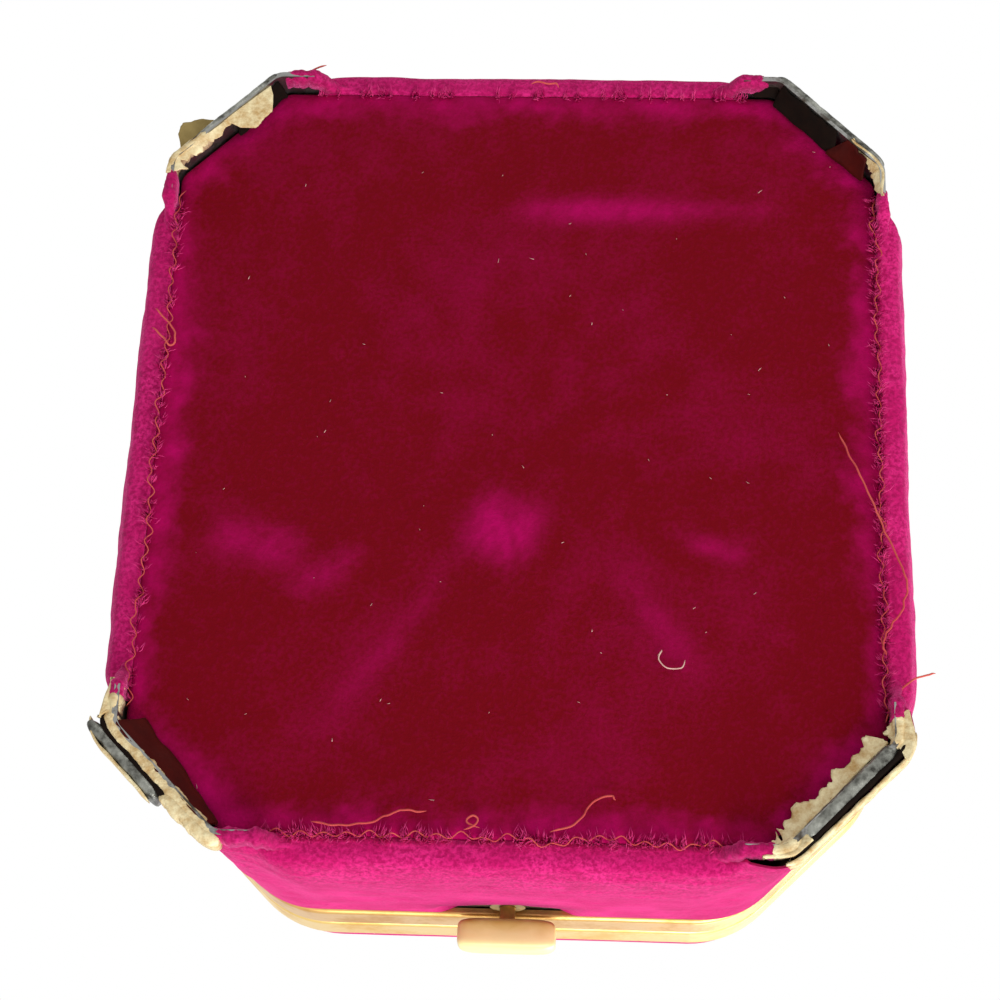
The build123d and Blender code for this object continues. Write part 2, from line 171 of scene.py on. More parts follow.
floor_edge = floor_half * MM
floor_corners = [(a * floor_edge, b * floor_edge, 0) for a, b in ((-1, -1), (1, -1), (1, 1), (-1, 1))]
floor_mesh = bpy.data.meshes.new("floor")
floor_mesh.from_pydata(floor_corners, [], [(0, 1, 2, 3)])
floor_mesh.materials.append(floor_white)
floor = bpy.data.objects.new("floor", floor_mesh)
floor.location.z = floor_level * MM
scene.collection.objects.link(floor)


# ---- Tin shell ---------------------------------------------------------------------------
# Tinplate pressed into an oblong with cut corners, its four feet left long.  The velvet has
# worn off the feet, so their edges show as dull grey metal with dark tarnish.

foot_leg, rim_leg = 7.8, 10.9  # leg of the cut corner at the feet and at the rims
foot_round, rim_round = 1.6, 7.0  # radius of its bends there
foot_wrap = 3.0  # how far a foot runs on past its cut corner, along each wall
parting = 23.15  # height of the plane between base and lid


def box_mm(node):
    """Lowest and highest corner of a CAD node, in millimetres."""
    return [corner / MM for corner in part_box(node)]


shell_low, shell_high = box_mm("base_shell")
half_width = (shell_high.x - shell_low.x) / 2
half_depth = (shell_high.y - shell_low.y) / 2
middle_y = (shell_high.y + shell_low.y) / 2


def per(size):
    """Texture scale, in turns for each metre, of a pattern that repeats at this size."""
    return 1 / (size * MM)


def give(material, *nodes):
    """Puts a material on CAD nodes."""
    for name in nodes:
        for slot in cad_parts[name].material_slots:
            slot.material = material


def mottled(
    name, hues, clouds, between=None, blend="LINEAR", rough=0.9, relief=None, grain=None, more=None
):
    """Material in two hues that drift into each other in clouds.

    clouds is their size in mm, then the noise's detail and roughness.  between is where in its
    values the second hue starts and is full.  rough is one value, or one for each hue.
    relief is a bump's strength and depth in mm.  grain, a texture and its inputs, shapes it, or
    the clouds do where there is none.  more holds other inputs of the surface.
    """
    made, tree, place = start_material(name)
    size, detail, roughness = clouds
    cloud = {"Vector": place, "Scale": per(size), "Detail": detail, "Roughness": roughness}
    spread = cloud = add(tree, "TexNoise", cloud).outputs["Fac"]
    if between:
        spread = {"Value": cloud, "From Min": between[0], "From Max": between[1]}
        spread = add(tree, "MapRange", spread, interpolation_type=blend).outputs[0]
    tint = add(tree, "Mix", {0: spread, 6: colour(hues[0]), 7: colour(hues[1])}, data_type="RGBA")
    if isinstance(rough, tuple):
        rough = add(tree, "MapRange", {"Value": spread, "To Min": rough[0], "To Max": rough[1]}).outputs[0]
    look = {"Base Color": tint.outputs[2], "Roughness": rough, **(more or {})}
    if relief:
        height = cloud
        if grain:
            kind, inputs = grain
            height = add(tree, kind, {"Vector": place, **inputs}).outputs[0]
        bump = add(tree, "Bump", {"Height": height, "Strength": relief[0], "Distance": relief[1] * MM})
        look["Normal"] = bump.outputs[0]
    shader = add(tree, "BsdfPrincipled", look)
    add(tree, "OutputMaterial", {"Surface": shader.outputs[0]})
    return made


# Tarnished tinplate: satin grey metal, darker and rougher where the tin has gone.
tinplate = mottled(
    "tarnished_tinplate",
    ("#8f8f8c", "#4a433b"),
    clouds=(2.2, 6.0, 0.65),
    between=(0.44, 0.62),
    blend="SMOOTHSTEP",
    rough=(0.34, 0.62),
    relief=(0.35, 0.05),
    grain=("TexNoise", {"Scale": per(0.3), "Detail": 3.0}),
    more={"Metallic": 1.0},
)
give(tinplate, "base_shell", "lid_shell")


# ---- Velvet round the wall ---------------------------------------------------------------
# One strip of magenta cotton velvet, glued round the wall over a thin padding so that it
# bulges, and turned in under the apron.  The pile is crushed near the lower edge.

velvet_edge, velvet_tuck = 0.2, 0.5  # how far it stands off the tin at its lower edge and the rim
velvet_swell, swell_power = 1.45, 0.42  # its bulge in between; a power below 1 keeps that low
velvet_foot, apron_velvet = 0.6, 2.0  # heights of the lower edge at the feet and between them
turned_in = 0.65
turn_lift = (0.35, 0.25)  # rise of the turned edge's inner and outer ends above its fold
turn_rows, wall_rows = 8, 54
face_start = 0.02  # where the face starts, as a share of its height
rim_gap = 0.05
wall_wave, wall_crush = 0.16, 0.14
cut_fade = (0.05, 3.4)  # the velvet goes flat between these distances from a cut corner's face
step_half = 0.7  # half the run in which its edge steps up from a foot to the apron
foot_edges = {
    # foot: (gap from the tin to the velvet's loose edge, how much higher that edge is worn)
    (-1, -1): (0.85, 0.15),
    (1, -1): (0.10, 0.90),
    (-1, 1): (0.12, 1.00),
    (1, 1): (0.12, 1.00),
}
dent_depth, dent_margin, dent_half_height = 0.95, 2.2, 3.9  # the hollow that the button presses
dent_floor_gap = 0.65  # from the button's back to the hollow's floor
stain_shadow_half_height, stain_shadow_drop = 4.4, 1.5  # the soiling and painted shadow round the button, and how far it hangs lower
button_low, button_high = box_mm("push_button")
rim_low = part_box("base_rim")[0].z / MM
COLUMNS = (112, 26, 96, 26) * 2  # mesh columns along each edge of the outline
TURN = 8  # and round each of its vertices
LEAN = 2 - math.sqrt(2)  # change of a cut corner's leg for each unit of offset


def outline(half_x, half_y, leg, radius):
    """Points round an oblong with cut corners and rounded vertices, anticlockwise."""
    x, y = half_x - leg, half_y - leg
    corners = [(half_x, -y), (half_x, y), (x, half_y), (-x, half_y)]
    corners = np.array(corners + [(-a, -b) for a, b in corners])
    headings = [math.pi / 2 + i * math.pi / 4 for i in range(8)]
    ways = np.array([(math.cos(h), math.sin(h)) for h in headings])
    back = radius * math.tan(math.pi / 8)
    points = []
    for i in range(8):
        start = corners[i] - ways[i - 1] * back
        centre = start + radius * np.array((-ways[i - 1][1], ways[i - 1][0]))
        for turn in np.arange(TURN) / TURN * math.pi / 4:
            heading = headings[i] - math.pi / 4 + turn
            points.append(centre + radius * np.array((math.sin(heading), -math.cos(heading))))
        leave = corners[i] + ways[i] * back
        arrive = corners[(i + 1) % 8] - ways[i] * back
        shares = np.arange(COLUMNS[i]) / COLUMNS[i]
        points.extend(leave + (arrive - leave) * share for share in shares)
    return np.array(points) + (0, middle_y)


def plan(z, grow):
    """Outline of the shell at a height, moved outwards by grow."""
    share = min(z / parting, 1)
    leg = foot_leg + (rim_leg - foot_leg) * share + LEAN * grow
    radius = max(foot_round + (rim_round - foot_round) * share + grow, 0.3)
    return outline(half_width + grow, half_depth + grow, leg, radius)


def outward(ring):
    """Level outward directions of a closed ring of points."""
    along = np.roll(ring, -1, 0) - np.roll(ring, 1, 0)
    out = np.stack([along[:, 1], -along[:, 0]], 1)
    return out / np.linalg.norm(out, axis=1)[:, None]


def smooth(value, low, high):
    """Soft step from 0 to 1 between two values."""
    share = np.clip((value - low) / (high - low), 0, 1)
    return share * share * (3 - 2 * share)


def cloudy(points, size, detail=3):
    """Fractal noise at each point, about -1 to 1, with features of this size."""
    size = np.broadcast_to(size, 3)
    return np.array([noise.fractal(Vector(p / size), 1.0, 2.0, detail) for p in points])


def grid_faces(rows, columns, closed=True):
    """Faces of a grid of points; closed joins its last column to its first."""
    wide = columns if closed else columns - 1
    faces = []
    for i in range(rows - 1):
        for j in range(wide):
            k = (j + 1) % columns
            faces.append((i * columns + j, i * columns + k, (i + 1) * columns + k, (i + 1) * columns + j))
    return faces


def piece(name, points, faces, material, body):
    """Smooth mesh object from points in millimetres, riding on a body."""
    mesh = bpy.data.meshes.new(name)
    mesh.from_pydata(np.asarray(points) * MM, [], faces)
    mesh.materials.append(material)
    mesh.polygons.foreach_set("use_smooth", [True] * len(mesh.polygons))
    made = bpy.data.objects.new(name, mesh)
    scene.collection.objects.link(made)
    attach(made, body)
    return made


def paint(made, name, values):
    """Stores a number at each point of a mesh for its material."""
    made.data.attributes.new(name, "FLOAT", "POINT").data.foreach_set("value", np.asarray(values, np.float32))


# Cotton velvet: matt, with a soft bright sheen where the pile is seen side-on, and a fine
# broken grain.  The pile is drawn coarser than the real one so that it shows.
wall_velvet, tree, place = start_material("magenta_cotton_velvet")
worn = add(tree, "Attribute", attribute_name="crushed").outputs["Fac"]
dirt_and_shade = add(tree, "Attribute", attribute_name="soiled_and_shadow").outputs["Fac"]
lay = add(tree, "TexNoise", {"Vector": place, "Scale": per(3.2), "Detail": 5.0, "Roughness": 0.6})
pile = add(tree, "TexNoise", {"Vector": place, "Scale": per(0.32), "Detail": 4.0, "Roughness": 0.7})
spread = {"Value": lay.outputs["Fac"], "From Min": 0.30, "From Max": 0.72}
shade = add(tree, "MapRange", spread, interpolation_type="SMOOTHSTEP")
grain = add(tree, "MapRange", {"Value": pile.outputs["Fac"], "From Min": 0.40, "From Max": 0.60})
hues = {0: shade.outputs[0], 6: colour("#cc1069"), 7: colour("#ea2b86")}
base = add(tree, "Mix", hues, data_type="RGBA").outputs[2]
flecked = add(tree, "Mix", {0: grain.outputs[0], 6: colour("#ab0855"), 7: base}, data_type="RGBA").outputs[2]
crushed = add(tree, "Mix", {0: worn, 6: base, 7: flecked}, data_type="RGBA").outputs[2]
# The soiled share darkens to near-black: soiling, and painted shadow round the button.
soiled_and_shadow = add(tree, "Mix", {0: dirt_and_shade, 6: crushed, 7: colour("#2a0614")}, data_type="RGBA").outputs[2]
bump = add(tree, "Bump", {"Height": pile.outputs["Fac"], "Strength": 0.8, "Distance": 0.18 * MM})
velvet = add(
    tree,
    "BsdfPrincipled",
    {
        "Base Color": soiled_and_shadow,
        "Roughness": 0.95,
        "Specular IOR Level": 0.15,
        "Sheen Weight": 0.85,
        "Sheen Roughness": 0.42,
        "Sheen Tint": colour("#ff6db0"),
        "Normal": bump.outputs[0],
    },
)
add(tree, "OutputMaterial", {"Surface": velvet.outputs[0]})


def swell(share):
    """How far the wall's velvet stands off the tin at a share of its height."""
    straight = velvet_edge + (velvet_tuck - velvet_edge) * share
    return straight + velvet_swell * math.sin(math.pi * share**swell_power)


def past_foot(ring):
    """How far each point of a ring is along its wall from the nearest foot, negative at a foot."""
    x, y = np.abs(ring - (0, middle_y)).T
    return np.maximum(half_width - foot_leg - foot_wrap - x, half_depth - foot_leg - foot_wrap - y)


foot_plan = plan(0, 0)
cut_middle = (half_width + half_depth - foot_leg) / math.sqrt(2)
from_cut = cut_middle - np.abs(foot_plan - (0, middle_y)).sum(1) / math.sqrt(2)
on_cut = 1 - smooth(from_cut, *cut_fade)
foot_of = [(1 if x > 0 else -1, 1 if y > middle_y else -1) for x, y in foot_plan]
edge_gap, edge_lift = np.array([foot_edges[foot] for foot in foot_of]).T
from_span = smooth(past_foot(foot_plan), -step_half, step_half)
at_foot = 1 - from_span
low_edge = apron_velvet + (velvet_foot + edge_lift - apron_velvet) * at_foot
# The edge turned in under the apron; at the feet it stops on the outside of the tin.
fold = plan(low_edge.mean(), swell(face_start))
full_tuck = (turned_in + swell(face_start)) * from_span
rings = []
for turn in np.arange(turn_rows) / turn_rows:
    tuck = np.minimum(1, 2 * (1 - turn)) * full_tuck + (1 - turn) * 0.15 * at_foot
    lift = (1 - turn) ** 2 * turn_lift[0] + turn**2 * turn_lift[1]
    rings.append(np.column_stack([fold - outward(fold) * tuck[:, None], low_edge + lift]))
for share in np.linspace(face_start, 1, wall_rows):
    ring = plan(velvet_foot + (rim_low - velvet_foot) * share, swell(share))
    rings.append(np.column_stack([ring, low_edge + (rim_low - rim_gap - low_edge) * share]))
points = np.concatenate(rings)
out = np.concatenate([outward(ring[:, :2]) for ring in rings])
height = (points[:, 2] - apron_velvet) / (rim_low - apron_velvet)
free = smooth(height, -0.05, 0.10) * (1 - smooth(height, 0.93, 1.0))
waves = cloudy(points, (9.0, 9.0, 2.4))
creases = cloudy(points, (3.2, 3.2, 0.7))
near_foot = 1 - smooth(height, 0.15, 0.55)
# Over the cut corners the velvet has gone flat and its edge has come off the foot.
cut_share = np.tile(on_cut, len(rings))
shares = np.clip((points[:, 2] - velvet_foot) / (rim_low - velvet_foot), 0, 1)
belly = np.sin(np.pi * shares**swell_power)
hanging = np.tile(edge_gap, len(rings)) * (1 - smooth(points[:, 2], 1.0, 9.0))
near_wrap = np.tile(at_foot, len(rings)) * (1 - smooth(points[:, 2], 1.2, 5.0)) * (1 - cut_share)
push = (hanging - 0.9 * velvet_swell * belly) * cut_share - 0.75 * velvet_swell * near_wrap * belly
push += wall_wave * waves * free + wall_crush * creases * free * (0.25 + 0.75 * near_foot)
# The button presses the velvet in behind it.
button_middle = (button_low + button_high) / 2
on_front = points[:, 1] < middle_y - half_depth
across = (points[:, 0] - button_middle.x) / ((button_high.x - button_low.x) / 2 + dent_margin)
level = (points[:, 2] - button_middle.z) / dent_half_height
dent = np.clip(1 - across**2 - level**2, 0, 1) * on_front
push -= dent_depth * smooth(dent, 0, 0.75)
points[:, :2] += out * push[:, None]
in_pocket = dent > 0.35
points[in_pocket, 1] = np.maximum(points[in_pocket, 1], button_high.y + dent_floor_gap)
wall = piece("wall_velvet", points, grid_faces(len(rings), len(fold)), wall_velvet, "base")
paint(wall, "crushed", np.clip(0.25 + 0.75 * near_foot + 0.35 * cloudy(points, 5.0), 0, 1))
# Round the hollow the velvet is darkened: partly soiling, partly painted shadow of the button.
level = (points[:, 2] - button_middle.z + stain_shadow_drop) / stain_shadow_half_height
stain_and_shadow = np.clip(1 - (across * 0.85) ** 2 - level**2, 0, 1)
stain_and_shadow *= points[:, 1] < middle_y - half_depth + 2
paint(wall, "soiled_and_shadow", np.clip(smooth(stain_and_shadow, 0.05, 0.85) * (0.62 + 0.30 * cloudy(points, 1.8)), 0, 1))
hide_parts("base_velvet")


# ---- Bottom panel ------------------------------------------------------------------------
# Pasteboard cut to the shell and covered in the same velvet as the wall, painted darker crimson
# as painted shade down its pile, pushed up between the feet and caught to the wall's velvet round
# its edge.  Handling has brushed marks in its pile, and they are painted magenta as painted sheen.

panel_low, panel_high = box_mm("bottom_velvet")
panel_inset = half_width - panel_high.x - 0.2  # tucked a little under the wall's turned edge
panel_rings = 64
panel_round_over, panel_rise = 1.0, 0.35  # width and height of the rolled edge
nap_sheen_marks = (
    # (x, y, half length, half width, turn in degrees, strength)
    (-6.5, 19.9, 6.6, 1.1, 0, 0.75),
    (-15.5, 20.1, 4.0, 0.8, 0, 0.25),
    (18.6, -8.3, 3.6, 1.9, 12, 0.55),
    (13.6, -10.6, 3.2, 1.2, -35, 0.45),
    (0.5, -6.8, 2.7, 2.6, 20, 0.95),
    (-15.1, -8.2, 2.2, 0.8, 15, 0.40),
    (8.5, -16.0, 6.5, 0.9, -55, 0.22),
    (-11.0, -14.0, 6.0, 1.1, 52, 0.28),
)


def nap(points, edge):
    """Share of painted magenta sheen at each point, where the pile is brushed the bright way: marks, clouds
    and the edge.
    """
    total = 0.05 + 0.17 * cloudy(points, 11.0) + 0.10 * cloudy(points, 2.5)
    for x, y, long, wide, turn, strength in nap_sheen_marks:
        c, s = math.cos(math.radians(turn)), math.sin(math.radians(turn))
        dx, dy = points[:, 0] - x, points[:, 1] - y - middle_y
        a, b = (c * dx + s * dy) / long, (c * dy - s * dx) / wide
        total += strength * np.exp(-(a**4) - b**2) * (1 + 0.5 * cloudy(points, 0.9))
    rim = edge + 1.1 * cloudy(points, 4.0) + 0.8 * cloudy(points, 0.9)
    patchy = 0.62 + 0.45 * cloudy(points, 2.2)
    return np.clip(total + patchy * (1 - smooth(rim, 0.6, 3.3)), 0, 1)


# Crimson velvet: the wall's velvet painted deep red as painted shade down the pile, and painted
# magenta as painted sheen where it is brushed over.  This pile too is drawn coarser than the real one.
panel_velvet, tree, place = start_material("crimson_velvet_painted_shade")
brushed_and_sheen = add(tree, "Attribute", attribute_name="brushed_and_sheen")
pile = add(tree, "TexNoise", {"Vector": place, "Scale": per(0.35), "Detail": 4.0, "Roughness": 0.7})
spread = {"Value": pile.outputs["Fac"], "From Min": 0.38, "From Max": 0.62, "To Min": -0.09, "To Max": 0.09}
grain = add(tree, "MapRange", spread)
turned = add(tree, "Math", {0: brushed_and_sheen.outputs["Fac"], 1: grain.outputs[0]}, operation="ADD", use_clamp=True)
base = add(tree, "Mix", {0: turned.outputs[0], 6: colour("#740010"), 7: colour("#b3005a")}, data_type="RGBA")
bump = add(tree, "Bump", {"Height": pile.outputs["Fac"], "Strength": 0.6, "Distance": 0.15 * MM})
velvet = add(
    tree,
    "BsdfPrincipled",
    {
        "Base Color": base.outputs[2],
        "Roughness": 0.95,
        "Specular IOR Level": 0.12,
        "Sheen Weight": 0.22,
        "Sheen Roughness": 0.45,
        "Sheen Tint": colour("#ff2a50"),
        "Normal": bump.outputs[0],
    },
)
add(tree, "OutputMaterial", {"Surface": velvet.outputs[0]})

edge_ring = plan(panel_low.z, -panel_inset)
centre = np.array((0, middle_y))
rings, edges = [], []
for share in np.linspace(0, 1, panel_rings) ** 1.35:
    ring = centre + (edge_ring - centre) * (1 - 0.995 * share)
    inside = np.linalg.norm(edge_ring - ring, axis=1)
    roll = np.clip(1 - inside / panel_round_over, 0, 1)
    rings.append(np.column_stack([ring, panel_low.z + panel_rise * (1 - np.sqrt(1 - roll**2 * 0.999))]))
    edges.append(inside)
points, edge = np.concatenate(rings), np.concatenate(edges)
points[:, 2] += smooth(edge, 0, 3) * (0.10 * cloudy(points, 14.0) + 0.03 * cloudy(points, 2.0)) + 0.02
faces = [face[::-1] for face in grid_faces(panel_rings, len(edge_ring))]
faces.append(tuple(range(len(points) - len(edge_ring), len(points)))[::-1])
panel = piece("bottom_panel_velvet", points, faces, panel_velvet, "base")
# Painted sheen: magenta where the pile is brushed and along the edge.
paint(panel, "brushed_and_sheen", nap(points, edge))
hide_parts("bottom_velvet")


# ---- Feet --------------------------------------------------------------------------------
# At each cut corner a strip of soft tin is folded over the shell's edge.  The lining paper,
# the brown leatherette and the velvet under it have torn away, and their rags stand round it.

feet = {"front_left": (-1, -1), "front_right": (1, -1), "back_left": (-1, 1), "back_right": (1, 1)}
rag_rows, rag_columns, edging_columns = 9, 90, 110
cut_half, bend_half = foot_leg / math.sqrt(2), 1.0  # of a cut corner's face, and of its bends
# The line of the tin, walked from the middle of a cut corner: runs go along that face, and
# drops outwards from it, so they are below zero past its bends.
steps = np.linspace(-14, 14, 1121)
bends = math.pi / 4 * np.sign(steps) * smooth(np.abs(steps), cut_half - bend_half, cut_half + bend_half)
runs = np.cumsum(np.cos(bends)) * (steps[1] - steps[0])
drops = np.cumsum(-np.sin(bends)) * (steps[1] - steps[0])
runs -= np.interp(0, steps, runs)
drops -= np.interp(0, steps, drops)


def round_foot(side_x, side_y, t, out, straight=False):
    """Points beside the tin of one foot: t runs from the side wall to the front or back one."""
    middle = np.array((side_x * (half_width - foot_leg / 2), side_y * (half_depth - foot_leg / 2) + middle_y))
    away = np.array((side_x, side_y)) / math.sqrt(2)
    along = np.array((-side_x, side_y)) / math.sqrt(2)
    if straight:
        return middle + t[:, None] * along + out[:, None] * away
    angle = np.interp(t, steps, bends)
    run = np.interp(t, steps, runs) + out * np.sin(angle)
    drop = np.interp(t, steps, drops) + out * np.cos(angle)
    return middle + run[:, None] * along + drop[:, None] * away


def ripple(along, size, *place, detail=0):
    """Noise at each value along a strip, about -1 to 1; detail adds finer waves to it."""
    spots = [Vector((value / size, *place)) for value in along]
    if detail:
        return np.array([noise.fractal(spot, 1.0, 2.0, detail) for spot in spots])
    return np.array([noise.noise(spot) for spot in spots])


def rag(name, foot, low, high, material, slot, thick, ragged, seed):
    """Torn strip of paper by a foot between two edges, each a run of (t, offset, height)."""
    low, high = np.array(low), np.array(high)
    t = np.linspace(low[0, 0], low[-1, 0], rag_columns)
    upper = np.linspace(high[0, 0], high[-1, 0], rag_columns)
    from_low = [np.interp(t, low[:, 0], low[:, k]) for k in (1, 2)]
    from_high = [np.interp(upper, high[:, 0], high[:, k]) for k in (1, 2)]
    taper = np.minimum(1, np.minimum(t - t[0], t[-1] - t) / 0.9 + 0.12)
    torn = np.clip(0.5 + ripple(t, 0.8, seed, 0.3, detail=3), 0, 1) * ragged
    rings = []
    for v in np.linspace(0, 1, rag_rows):
        share = 1 - (1 - (torn + (1 - torn) * v)) * taper
        curl = ripple(t, 1.7, v * 1.3, seed + 7)
        offset, z = (a * (1 - share) + b * share for a, b in zip(from_low, from_high))
        place = round_foot(*foot, t + (upper - t) * share, offset + 0.2 * curl)
        rings.append(np.column_stack([place, z + 0.02 * curl]))
    faces = grid_faces(rag_rows, rag_columns, closed=False)
    made = piece(name, np.concatenate(rings), faces, material, "base")
    skin = made.modifiers.new("thickness", "SOLIDIFY")
    skin.thickness = thick * MM
    skin.offset = 0.0
    return made


def edging(name, foot, ends, out, width, base, high, material, slot, rough, seed, straight):
    """Bar with a rounded edge beside a foot; out gives its offset at its two ends."""
    count = edging_columns
    t = np.linspace(*ends, count)
    close = min(width, 0.6)
    half = [(1.0, high), (1.0, close * 0.7), (0.84, close * 0.28), (0.5, 0.04)]
    section = [(-x / 2, z) for x, z in half] + [(0, 0)] + [(x / 2, z) for x, z in half[::-1]]
    middle = np.interp(t, ends, out)
    bow = ripple(t, 4.5, 2.0, seed)
    wear = ripple(t, 0.9, 6.0, seed, detail=3)
    taper = np.clip(np.minimum(t - ends[0], ends[1] - t) / 0.7, 0, 1) ** 0.5
    thick = width * (1 + 1.1 * rough * wear) * (0.35 + 0.65 * taper)
    lift = (apron_velvet - 0.1) * smooth(np.abs(t), 8.4, 10.4)  # up to the apron past the foot
    rings = []
    for share, z in section:
        dent = ripple(t, 1.1, share * 2, seed + 3)
        place = round_foot(*foot, t, middle + share * thick + rough * (0.25 * dent + 0.3 * bow), straight)
        level = z + base + lift + rough * 0.25 * np.abs(dent) + 0.3 * (1 - taper)
        rings.append(np.column_stack([place, level]))
    rows = len(section)
    last = (rows - 1) * count
    faces = grid_faces(rows, count, closed=False)
    faces += [(last + j, last + j + 1, j + 1, j) for j in range(count - 1)]
    faces += [tuple(i * count for i in range(rows)), tuple(i * count + count - 1 for i in range(rows))[::-1]]
    return piece(name, np.concatenate(rings), faces, material, "base")


# Lead-grey folded tin: soft dull metal with a fine scratchy grain.
strip_metal = mottled(
    "folded_soft_tin",
    ("#a3a49b", "#3a3934"),
    clouds=(1.3, 5.0, 0.6),
    between=(0.30, 0.62),
    rough=0.42,
    relief=(0.5, 0.06),
    grain=("TexNoise", {"Scale": per(0.25), "Detail": 2.0, "Distortion": 1.5}),
    more={"Metallic": 0.85},
)
# Buff lining paper: soft, matt and fibrous, dirtier in patches.
paper = mottled(
    "buff_lining_paper",
    ("#f8eabc", "#b98f50"),
    clouds=(1.1, 6.0, 0.7),
    between=(0.35, 0.7),
    relief=(0.8, 0.08),
    grain=("TexNoise", {"Scale": per(0.18), "Detail": 3.0}),
)
# Brown leatherette: stiff paper with an embossed grain and a dark, slightly glossy coat.
leatherette = mottled(
    "brown_leatherette_paper",
    ("#560f08", "#1e0303"),
    clouds=(1.6, 4.0, 0.5),
    rough=0.65,
    relief=(0.4, 0.05),
    grain=("TexVoronoi", {"Scale": per(0.35)}),
    more={"Specular IOR Level": 0.1},
)
# Old black lining: leatherette gone nearly black and crusty with glue and dirt.  The backings beside the tin
# strips use it as painted shadow.
black_lining = mottled(
    "black_glue_lining",
    ("#1c0f08", "#020101"),
    clouds=(0.9, 5.0, 0.5),
    rough=0.85,
    relief=(0.6, 0.1),
    more={"Specular IOR Level": 0.1},
)
# Back of the lining paper: matt, and browned by the glue that held it.
glued_paper = mottled(
    "glue_browned_paper", ("#c9b070", "#6f5a28"), clouds=(1.3, 5.0, 0.5), relief=(0.5, 0.08)
)
kinds = {
    # kind: (material, slot)
    "tin": (strip_metal, "tinplate"),
    "paper": (paper, "tan_paper"),
    "glued": (glued_paper, "tan_paper"),
    "brown": (leatherette, "tan_paper"),
    "black": (black_lining, "tan_paper"),
    "velvet": (wall_velvet, "magenta_velvet"),
}
rags = (
    # (name, foot, kind, thickness, raggedness,
    #  lower edge, upper edge)
    ("lining", "back_right", "black", 0.15, 0.1,
     ((0.2, -0.45, 0.3), (6.0, -0.5, 0.4)), ((0.2, -1.3, 1.9), (6.0, -1.1, 1.9))),
    ("paper_kite", "back_right", "paper", 0.14, 0.05,
     ((-0.5, -0.75, 0.5), (1.2, -2.4, 0.7), (3.1, -2.1, 0.7), (4.9, -0.4, 0.4)),
     ((-0.4, -0.3, 0.1), (4.9, 0.0, 0.3))),
    ("paper_edge", "back_right", "paper", 0.2, 0.55,
     ((-6.9, -1.35, 0.6), (1.0, -1.1, 0.8)), ((-6.9, 0.1, -0.04), (1.0, -0.3, 0.2))),
    ("paper_flap", "back_right", "glued", 0.12, 0.1,
     ((-4.3, 1.4, 1.0), (-2.6, 2.3, 1.0), (-0.4, 0.9, 1.2)), ((-4.3, 0.4, 1.2), (-0.2, 0.4, 1.2))),
    ("lining", "back_left", "black", 0.18, 0.08,
     ((-1.6, -0.4, 0.05), (5.8, -0.4, 0.1)), ((-1.6, -1.5, 1.9), (5.2, -1.4, 1.9))),
    ("lining_brown", "back_left", "brown", 0.2, 0.08,
     ((-5.0, -0.7, 0.1), (-1.2, -0.3, 0.0)), ((-4.6, -1.5, 1.8), (-1.0, -1.6, 1.8))),
    ("paper_edge", "back_left", "paper", 0.2, 0.4,
     ((-8.2, -1.3, 0.9), (-2.2, -0.6, 0.5)), ((-8.2, -0.2, -0.03), (-2.2, -0.1, -0.03))),
    ("lining_flap", "back_left", "black", 0.18, 0.35,
     ((5.0, 0.0, 0.3), (7.6, 0.0, 0.5)), ((5.0, -0.9, 1.6), (7.6, -0.8, 1.6))),
    ("lining", "front_left", "black", 0.2, 0.2,
     ((-5.4, -0.7, 0.5), (5.4, -0.6, 0.5)), ((-5.4, -1.5, 1.9), (5.4, -1.4, 1.9))),
    ("paper_fringe", "front_left", "paper", 0.3, 0.5,
     ((-5.2, -2.4, 1.3), (5.8, -2.0, 1.3)), ((-5.2, -0.8, 0.5), (5.8, -0.2, 0.4))),
    ("paper_tab", "front_left", "paper", 0.3, 0.6,
     ((3.8, -1.9, 1.2), (7.2, -1.3, 1.4)), ((3.8, 0.6, -0.05), (7.2, 0.4, 0.3))),
    ("paper_side", "front_left", "paper", 0.3, 0.4,
     ((-7.9, -1.5, 1.0), (-4.9, -1.2, 0.6)), ((-7.9, 0.6, 0.1), (-4.9, 1.2, 0.0))),
    ("lining", "front_right", "brown", 0.25, 0.12,
     ((-6.4, -0.15, 0.0), (5.6, -0.15, 0.0)), ((-5.8, -2.1, 1.9), (0.0, -1.7, 1.8), (4.8, -0.9, 1.4))),
    ("paper_side", "front_right", "paper", 0.3, 0.5,
     ((-9.0, -0.9, 1.0), (-6.0, -0.4, 0.2)), ((-9.0, 0.3, 0.4), (-6.0, 0.9, 0.0))),
)
for count, (name, foot, kind, thick, ragged, low, high) in enumerate(rags):
    made = rag(f"foot_{name}_{foot}", feet[foot], low, high, *kinds[kind], thick, ragged, count * 3.7)
    if name == "lining":
        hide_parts(f"foot_paper_{foot}")
